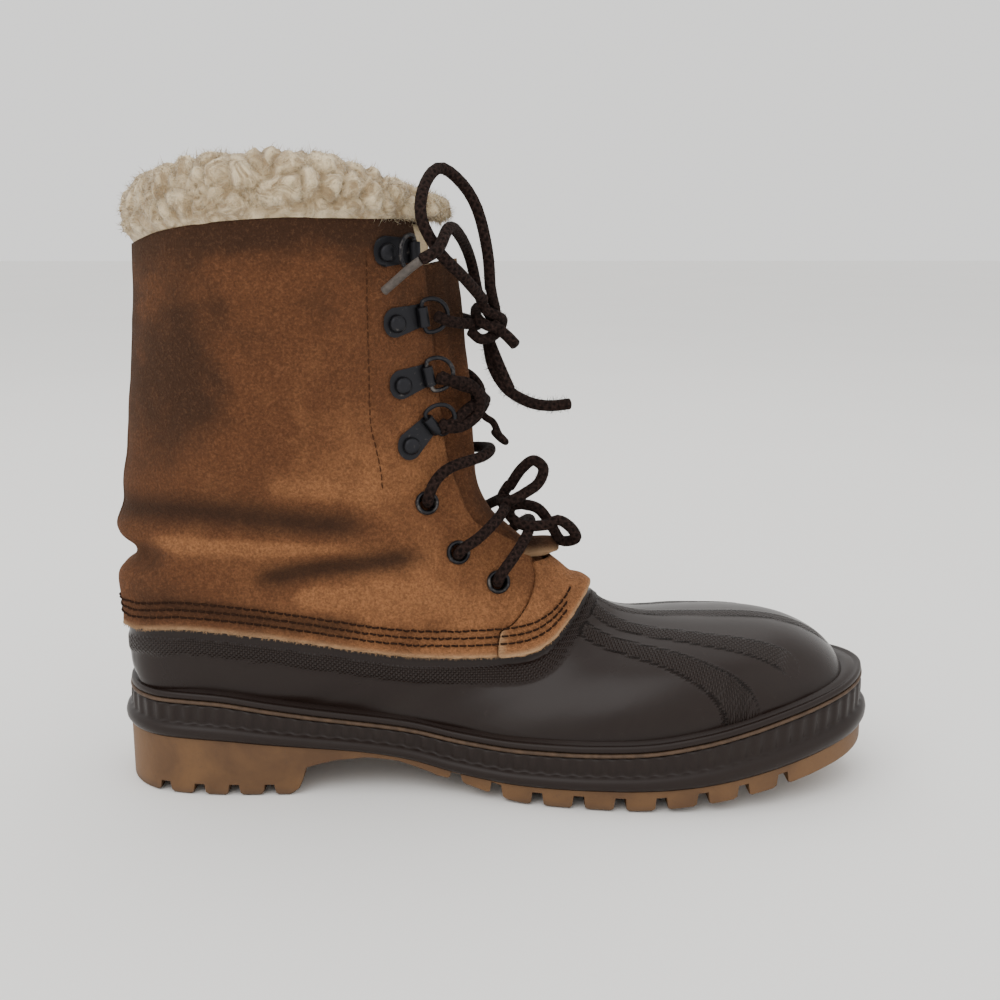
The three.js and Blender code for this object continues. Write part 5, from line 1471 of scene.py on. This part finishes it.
def stitch_row(bm, points, normals, length, radius):
    """Short raised stitches along a route of surface points."""
    run = np.concatenate([[0], np.cumsum(np.linalg.norm(np.diff(points, axis=0), axis=1))])
    count = int(run[-1] / length)
    for k in range(count):
        at = np.linspace(k * length, k * length + length * 0.72, 4)
        middle = np.stack([np.interp(at, run, points[:, c]) for c in range(3)], axis=1)
        out = np.stack([np.interp(at, run, normals[:, c]) for c in range(3)], axis=1)
        arch = np.array([-0.0002, 0.00025, 0.00025, -0.0002])[:, None]
        join_mesh(bm, tube(middle + out * arch, radius, sides=5, ends=radius * 0.6))


def surface_line(x, z, side, out=0.0):
    """Points and normals on the suede's side at places given in the side view."""
    turns = np.linspace(0.02, 0.495, 170) if side < 0 else np.linspace(0.505, 0.98, 170)
    base = blend_rows(form_rows(turns, out), np.linspace(0.2, 17, 320))
    normals = grid_normals(base, closed=False)
    points = base.reshape(-1, 3)
    flat = points[:, [0, 2]]
    depth, _ = crease_fields(points)
    lift = (suede_waves(points) - depth) * (1 - near_metal(points))
    moved = points + normals.reshape(-1, 3) * lift[:, None]
    found, ways = [], []
    for px, pz in zip(x, z):
        d = (flat[:, 0] - px) ** 2 + (flat[:, 1] - pz) ** 2
        near = np.argpartition(d, 4)[:4]
        weight = 1 / (d[near] + 1e-9)
        weight /= weight.sum()
        found.append((moved[near] * weight[:, None]).sum(axis=0))
        way = (normals.reshape(-1, 3)[near] * weight[:, None]).sum(axis=0)
        ways.append(way / np.linalg.norm(way))
    return np.array(found), np.array(ways)


def make_stitches():
    """The rows along the hem and the row down each facing."""
    length = boot_sizes().stitch_length
    bm = bmesh.new()
    facing = bmesh.new()
    for side in (-1, 1):
        for above in STITCH_ROWS:
            x = np.linspace(x_of(-0.008), x_of(0.6), 150)
            p, n = surface_line(x, hem_z(x) + above, side)
            on_vamp = smooth_step(x_of(0.49), x_of(0.512), x)
            raised = 0.0002 + on_vamp * (0.0006 + 0.0009 * smooth_step(x_of(0.575), x_of(0.54), x))
            met = np.hypot(p[:, 0] - x, p[:, 2] - hem_z(x) - above) < 0.001
            stitch_row(bm, (p + n * raised[:, None])[met], n[met], length, STITCH_RADIUS)
        z = np.linspace(0.128, 0.226, 60)
        p, n = surface_line(np.full(60, FACING_X) + 0.004 * smooth_step(0.16, 0.128, z), z, side)
        stitch_row(facing, p, n, length, FACING_STITCH_RADIUS)
    new_piece("facing_stitches", facing, "Worn thread")
    new_piece("hem_stitches", bm, "Brown thread")


def make_fringe():
    """Torn fibres along the suede's raw hem."""
    bm = bmesh.new()
    rng = random.Random(3)
    for side in (-1, 1):
        x = np.linspace(x_of(-0.01), x_of(0.6), 420)
        p, n = surface_line(x, hem_z(x), side)
        roots, ways, lengths = [], [], []
        for k in range(1500):
            i = rng.randrange(len(p))
            roots.append(p[i] - n[i] * rng.uniform(0, 0.0018) + np.array([rng.uniform(-4e-4, 4e-4), 0, 0.0004]))
            ways.append(n[i] * rng.uniform(-0.1, 0.7) + np.array([rng.uniform(-0.6, 0.6), 0, -1]))
            lengths.append(rng.uniform(0.0006, 0.0019))
        hairs(bm, roots, ways, lengths, FRINGE_HAIR, 9 + side)
    new_piece("hem_fringe", bm, "Tan fibre")


def lathe(profile, matrix, steps=28):
    """A round part from half its section, (radius, height)."""
    bm = bmesh.new()
    verts = [bm.verts.new((r, 0, z)) for r, z in profile]
    edges = [bm.edges.new(pair) for pair in zip(verts[:-1], verts[1:])]
    bmesh.ops.spin(bm, geom=verts + edges, cent=(0, 0, 0), axis=(0, 0, 1), angle=2 * math.pi, steps=steps,
                   use_merge=True)
    bmesh.ops.remove_doubles(bm, verts=bm.verts, dist=1e-6)
    bmesh.ops.transform(bm, matrix=matrix, verts=bm.verts)
    return bm


def make_clip(name, seat):
    _, place, ahead, normal, pivot, pivot_ahead, pivot_normal = seat
    rivet_frame = place_matrix(place, ahead, normal)
    pivot_frame = place_matrix(pivot, pivot_ahead, pivot_normal)
    n1, n2 = Vector(normal).normalized(), Vector(pivot_normal).normalized()
    start = rivet_frame.translation + n1 * RIVET_BASE
    end = pivot_frame.translation - n2 * (BARREL_RADIUS - 0.0012)
    ahead_1 = rivet_frame.col[0].to_3d()
    rows = []
    for u in np.linspace(-1, 1, 23):
        if u < 0:
            reach = u * PLATE_WIDTH * 0.56
            half = PLATE_WIDTH / 2 * math.sqrt(max(0.0, 1 - abs(u) ** 2.2)) + 0.00015
            centre = start + ahead_1 * reach
            out = n1
        else:
            half = PLATE_WIDTH / 2 + (PLATE_FRONT / 2 - PLATE_WIDTH / 2) * min(1, u * 1.25)
            centre = start.lerp(end, u)
            out = n1.lerp(n2, u).normalized()
        across = out.cross((end - start).normalized())
        rows.append([centre + across * half * v for v in np.linspace(-1, 1, 9)])
    bm = grid_mesh(np.array([[tuple(p) for p in row] for row in rows]))
    bmesh.ops.solidify(bm, geom=bm.faces[:], thickness=-PLATE_THICKNESS)
    bmesh.ops.recalc_face_normals(bm, faces=bm.faces)
    knuckle = bmesh.new()
    bmesh.ops.create_cone(knuckle, cap_ends=True, segments=24, radius1=BARREL_RADIUS, radius2=BARREL_RADIUS,
                          depth=BARREL_WIDTH)
    bmesh.ops.bevel(knuckle, geom=[e for e in knuckle.edges if abs(e.verts[0].co.z - e.verts[1].co.z) < 1e-9],
                    offset=0.0003, affect="EDGES", segments=2, profile=0.5, material=-1)
    turn = Matrix.Rotation(math.radians(90), 4, "X")
    bmesh.ops.transform(knuckle, matrix=pivot_frame @ turn, verts=knuckle.verts)
    join_mesh(bm, knuckle)
    piece = new_piece(f"clip_plate_{name}", bm, "Worn black metal", node=f"clip_{name}",
                      recalculate=False)
    soften(piece, 0.00022)
    top = RIVET_BASE + PLATE_THICKNESS
    dome = [(0, top + 0.0016), (0.0012, top + 0.0015), (0.0023, top + 0.00125), (0.0031, top + 0.0008),
            (0.0035, top + 0.0002), (RIVET_RADIUS, top - 0.0004), (RIVET_RADIUS * 0.9, -0.001)]
    new_piece(f"clip_rivet_{name}", lathe(dome, rivet_frame), "Worn black metal", node=f"rivet_{name}")


def make_ring(name, seat):
    opened, _, _, _, pivot, pivot_ahead, pivot_normal = seat
    half = RING_WIDTH / 2 - RING_WIRE / 2
    route = [(0, -half * 0.5), (0, half * 0.5), (RING_WIRE * 0.35, half * 0.9)]
    for k in range(7):
        turn = math.pi / 2 - k * math.pi / 6
        bow = (RING_REACH * 0.7 - RING_WIRE / 2) * math.cos(turn)
        route.append((RING_REACH * 0.3 + bow, half * math.sin(turn)))
    route.append((RING_WIRE * 0.35, -half * 0.9))
    points = spline([(a, b, 0.0) for a, b in route], 64, closed=True)
    bm = tube(points, RING_WIRE / 2, sides=10, closed=True)
    matrix = place_matrix(pivot, pivot_ahead, pivot_normal) @ Matrix.Rotation(-math.radians(opened), 4, "Y")
    bmesh.ops.transform(bm, matrix=matrix, verts=bm.verts)
    node = f"ring_{name}"
    body = node if name.endswith("_1") else "boot"
    key = "Bare rim metal" if name in ("inner_1", "inner_3") else "Worn black metal"
    new_piece(f"d_{node}", bm, key, body=body, node=node)


def make_eyelet(name, seat):
    matrix = place_matrix(*seat) @ Matrix.Translation((0, 0, 0.0004))
    hole, flange = EYELET_HOLE, EYELET_FLANGE
    profile = [(hole - 0.0001, -0.004), (hole, -0.0005), (hole + 0.0002, 0.0012), (hole + 0.0007, 0.0017),
               (hole + 0.0013, 0.0016), (flange - 0.0001, 0.0009), (flange, 0.0003), (flange - 0.0005, 0.0001)]
    new_piece(f"eyelet_rim_{name}", lathe(profile, matrix, 32), "Bare rim metal",
              node=f"eyelet_{name}")


def make_stage():
    scene = bpy.context.scene
    camera_data = bpy.data.cameras.new("Boot camera")
    camera_data.sensor_width = SENSOR_WIDTH
    camera_data.lens = LENS
    camera = bpy.data.objects.new("Boot camera", camera_data)
    scene.collection.objects.link(camera)
    camera.location = CAMERA_PLACE
    camera.rotation_euler = (Vector(CAMERA_TARGET) - camera.location).to_track_quat("-Z", "Y").to_euler()
    scene.camera = camera
    bm = bmesh.new()
    bmesh.ops.create_grid(bm, x_segments=2, y_segments=2, size=FLOOR_SIZE)
    mesh = bpy.data.meshes.new("Floor")
    bm.to_mesh(mesh)
    bm.free()
    floor = bpy.data.objects.new("Floor", mesh)
    scene.collection.objects.link(floor)
    material, tree, shader = new_material("Pale floor")
    patch = cloud(tree, 3.0, 2.0, 0.5)
    tree.links.new(mix_colour(tree, patch, *FLOOR_COLOURS), shader.inputs["Base Color"])
    shader.inputs["Roughness"].default_value = 0.85
    mesh.materials.append(material)
    world = bpy.data.worlds.new("Studio")
    world.use_nodes = True
    world.node_tree.nodes["Background"].inputs[0].default_value = WORLD_COLOUR
    world.node_tree.nodes["Background"].inputs[1].default_value = WORLD_STRENGTH
    scene.world = world
    for name, place, size, power in LIGHTS:
        light = bpy.data.lights.new(name, "AREA")
        light.size = size
        light.energy = power
        lamp = bpy.data.objects.new(name, light)
        lamp.location = place
        lamp.rotation_euler = (Vector(LIGHT_TARGET) - Vector(place)).to_track_quat("-Z", "Y").to_euler()
        scene.collection.objects.link(lamp)


def cord_fuzz(name, points, count, seed, length=0.0011):
    """Loose fibres that stand out of a cord."""
    rng = random.Random(seed)
    bm = bmesh.new()
    points = np.array(points)
    roots, ways, lengths = [], [], []
    for _ in range(count):
        i = rng.randrange(1, len(points) - 1)
        way = points[i + 1] - points[i - 1]
        way = way / np.linalg.norm(way)
        out = np.cross(way, [rng.uniform(-1, 1) for _ in range(3)])
        out /= np.linalg.norm(out) + 1e-9
        roots.append(points[i] + out * (LACE_DIAMETER / 2) * 0.9)
        ways.append(out + way * rng.uniform(-0.7, 0.7))
        lengths.append(length * rng.uniform(0.4, 1.3))
    hairs(bm, roots, ways, lengths, LACE_HAIR, seed, curl=0.8)
    return new_piece(name, bm, "Fuzzy cord", recalculate=False)


def cord_piece(name, route, node, count, fuzz, seed, fuzz_length=0.0011):
    """A stretch of lace along a route in mm; returns the piece, its points in metres and its fibres."""
    points = spline(metres(route), count)
    bm = tube(points, LACE_DIAMETER / 2, sides=14, ends=0.001)
    piece = new_piece(name, bm, "Fuzzy cord", node=node, recalculate=False)
    return piece, points, cord_fuzz(name + "_fibres", spline(points, count * 4), fuzz, seed, fuzz_length)


def make_knot():
    """The bow's knot and the short ends beside it; returns what hangs on the tall loop."""
    knot = bmesh.new()
    parts = []
    for k, route in enumerate(KNOT_ROUTES):
        points = spline(metres(route), 90)
        join_mesh(knot, tube(points, LACE_DIAMETER / 2 * 0.95, sides=12, ends=0.001))
        parts.append(cord_fuzz(f"cord_knot_fibres_{k}", points, 160, 31 + k))
    parts.append(new_piece("cord_knot", knot, "Fuzzy cord", node="lace_knot", recalculate=False))
    tipped, _, fibres = cord_piece("cord_tipped", TIPPED_ROUTE, "lace_end_tipped", 15, 60, 41)
    knotted = bmesh.new()
    join_mesh(knotted, tube(spline(metres(KNOTTED_ROUTE), 60), 0.0015, sides=10, ends=0.001))
    ring = spline(metres(KNOTTED_RING), 40, closed=True)
    join_mesh(knotted, tube(ring, 0.0014, sides=10, closed=True))
    return parts + [tipped, fibres, new_piece("cord_knotted", knotted, "Fuzzy cord", node="lace_end_knotted",
                                              recalculate=False)]


def make_lace():
    extras = {"lace_loop_tall": make_knot()}
    tip = tube(spline(metres(TIP_ROUTE), 24), 0.0017, sides=14, ends=0.0003)
    extras["lace_end_inner"] = [new_piece("cord_tip", tip, "Grey tip", node="aglet_inner")]
    for k, (name, route) in enumerate(LACE_CORDS.items()):
        fuzz, fuzz_length = (600, 0.0022) if name == "lace_end_long" else (300, 0.0011)
        cord = name.replace("lace", "cord")
        piece, points, fibres = cord_piece(cord, route, name, 36, fuzz, 50 + k, fuzz_length)
    for k, (name, route) in enumerate(LACE_BARS.items()):
        cord_piece("cord_" + name, route, "lace_" + name, 40, 320, 70 + k)
    for k, (name, route) in enumerate(LACE_JOINS.items()):
        cord_piece("cord_" + name, route, None, 24, 120, 90 + k)
    for side, label in ((-1, "inner"), (1, "outer")):
        turn, cross = ([(x, y * side, z) for x, y, z in route] for route in (LACE_TURN, LACE_CROSS))
        cord_piece(f"cord_turn_{label}", turn, None, 36, 200, 80 + side)
        cord_piece(f"cord_cross_{label}", cross, None, 30, 120, 84 + side)


def make_metal():
    for name, seat in RING_SEATS.items():
        make_clip(name, seat)
        make_ring(name, seat)
    for name, seat in EYELET_SEATS.items():
        make_eyelet(name, seat)


class BootTask(bpy.types.Operator):
    """Runs the functions that make a group of pieces"""
    bl_options = {"REGISTER", "UNDO"}
    makers = ()

    def execute(self, context):
        for make in self.makers:
            make()
        return {"FINISHED"}


class BOOT_OT_stage(BootTask):
    """Adds the camera, the pale floor and the soft lights"""
    bl_idname = "boot.stage"
    bl_label = "Stage"
    makers = (make_stage,)


class BOOT_OT_lace(BootTask):
    """Adds the lace with its knot, loops and ends"""
    bl_idname = "boot.lace"
    bl_label = "Lace"
    makers = (make_lace,)


class BOOT_OT_sole(BootTask):
    """Adds the gum outsole and the foxing round it"""
    bl_idname = "boot.sole"
    bl_label = "Sole"
    makers = (make_outsole, make_foxing)


class BOOT_OT_shell(BootTask):
    """Adds the moulded rubber shell with its knurled band and ribs"""
    bl_idname = "boot.shell"
    bl_label = "Shell"
    makers = (make_shell,)


class BOOT_OT_suede(BootTask):
    """Adds the suede quarters, vamp and tongue with their stitches"""
    bl_idname = "boot.suede"
    bl_label = "Suede"
    makers = (make_upper, make_vamp, make_tongue, make_stitches, make_fringe)


class BOOT_OT_lining(BootTask):
    """Adds the felt liner and the fleece cuff"""
    bl_idname = "boot.lining"
    bl_label = "Lining"
    makers = (make_liner, make_cuff)


class BOOT_OT_metal(BootTask):
    """Adds the clips, rivets, rings and eyelets"""
    bl_idname = "boot.metal"
    bl_label = "Metal"
    makers = (make_metal,)


TASKS = (BOOT_OT_stage, BOOT_OT_lace, BOOT_OT_sole, BOOT_OT_shell, BOOT_OT_suede, BOOT_OT_lining, BOOT_OT_metal)


class BOOT_PT_panel(bpy.types.Panel):
    """Sidebar panel that lists the boot's pieces"""
    bl_idname = "BOOT_PT_panel"
    bl_label = "Pac Boot"
    bl_space_type = "VIEW_3D"
    bl_region_type = "UI"
    bl_category = "Pac Boot"

    def draw(self, context):
        column = self.layout.column(align=True)
        for task in TASKS:
            column.operator(task.bl_idname)
        for group in (context.scene.boot_sizes, context.scene.boot_colours):
            for key in group.__annotations__:
                self.layout.prop(group, key)


CLASSES = (BootSizes, BootColours, *TASKS, BOOT_PT_panel)


def register():
    for cls in CLASSES:
        bpy.utils.register_class(cls)
    bpy.types.Scene.boot_sizes = bpy.props.PointerProperty(type=BootSizes)
    bpy.types.Scene.boot_colours = bpy.props.PointerProperty(type=BootColours)


def unregister():
    del bpy.types.Scene.boot_colours
    del bpy.types.Scene.boot_sizes
    for cls in reversed(CLASSES):
        bpy.utils.unregister_class(cls)


def main():
    register()
    for task in TASKS:
        area, name = task.bl_idname.split(".")
        getattr(getattr(bpy.ops, area), name)()


if __name__ == "__main__":
    main()
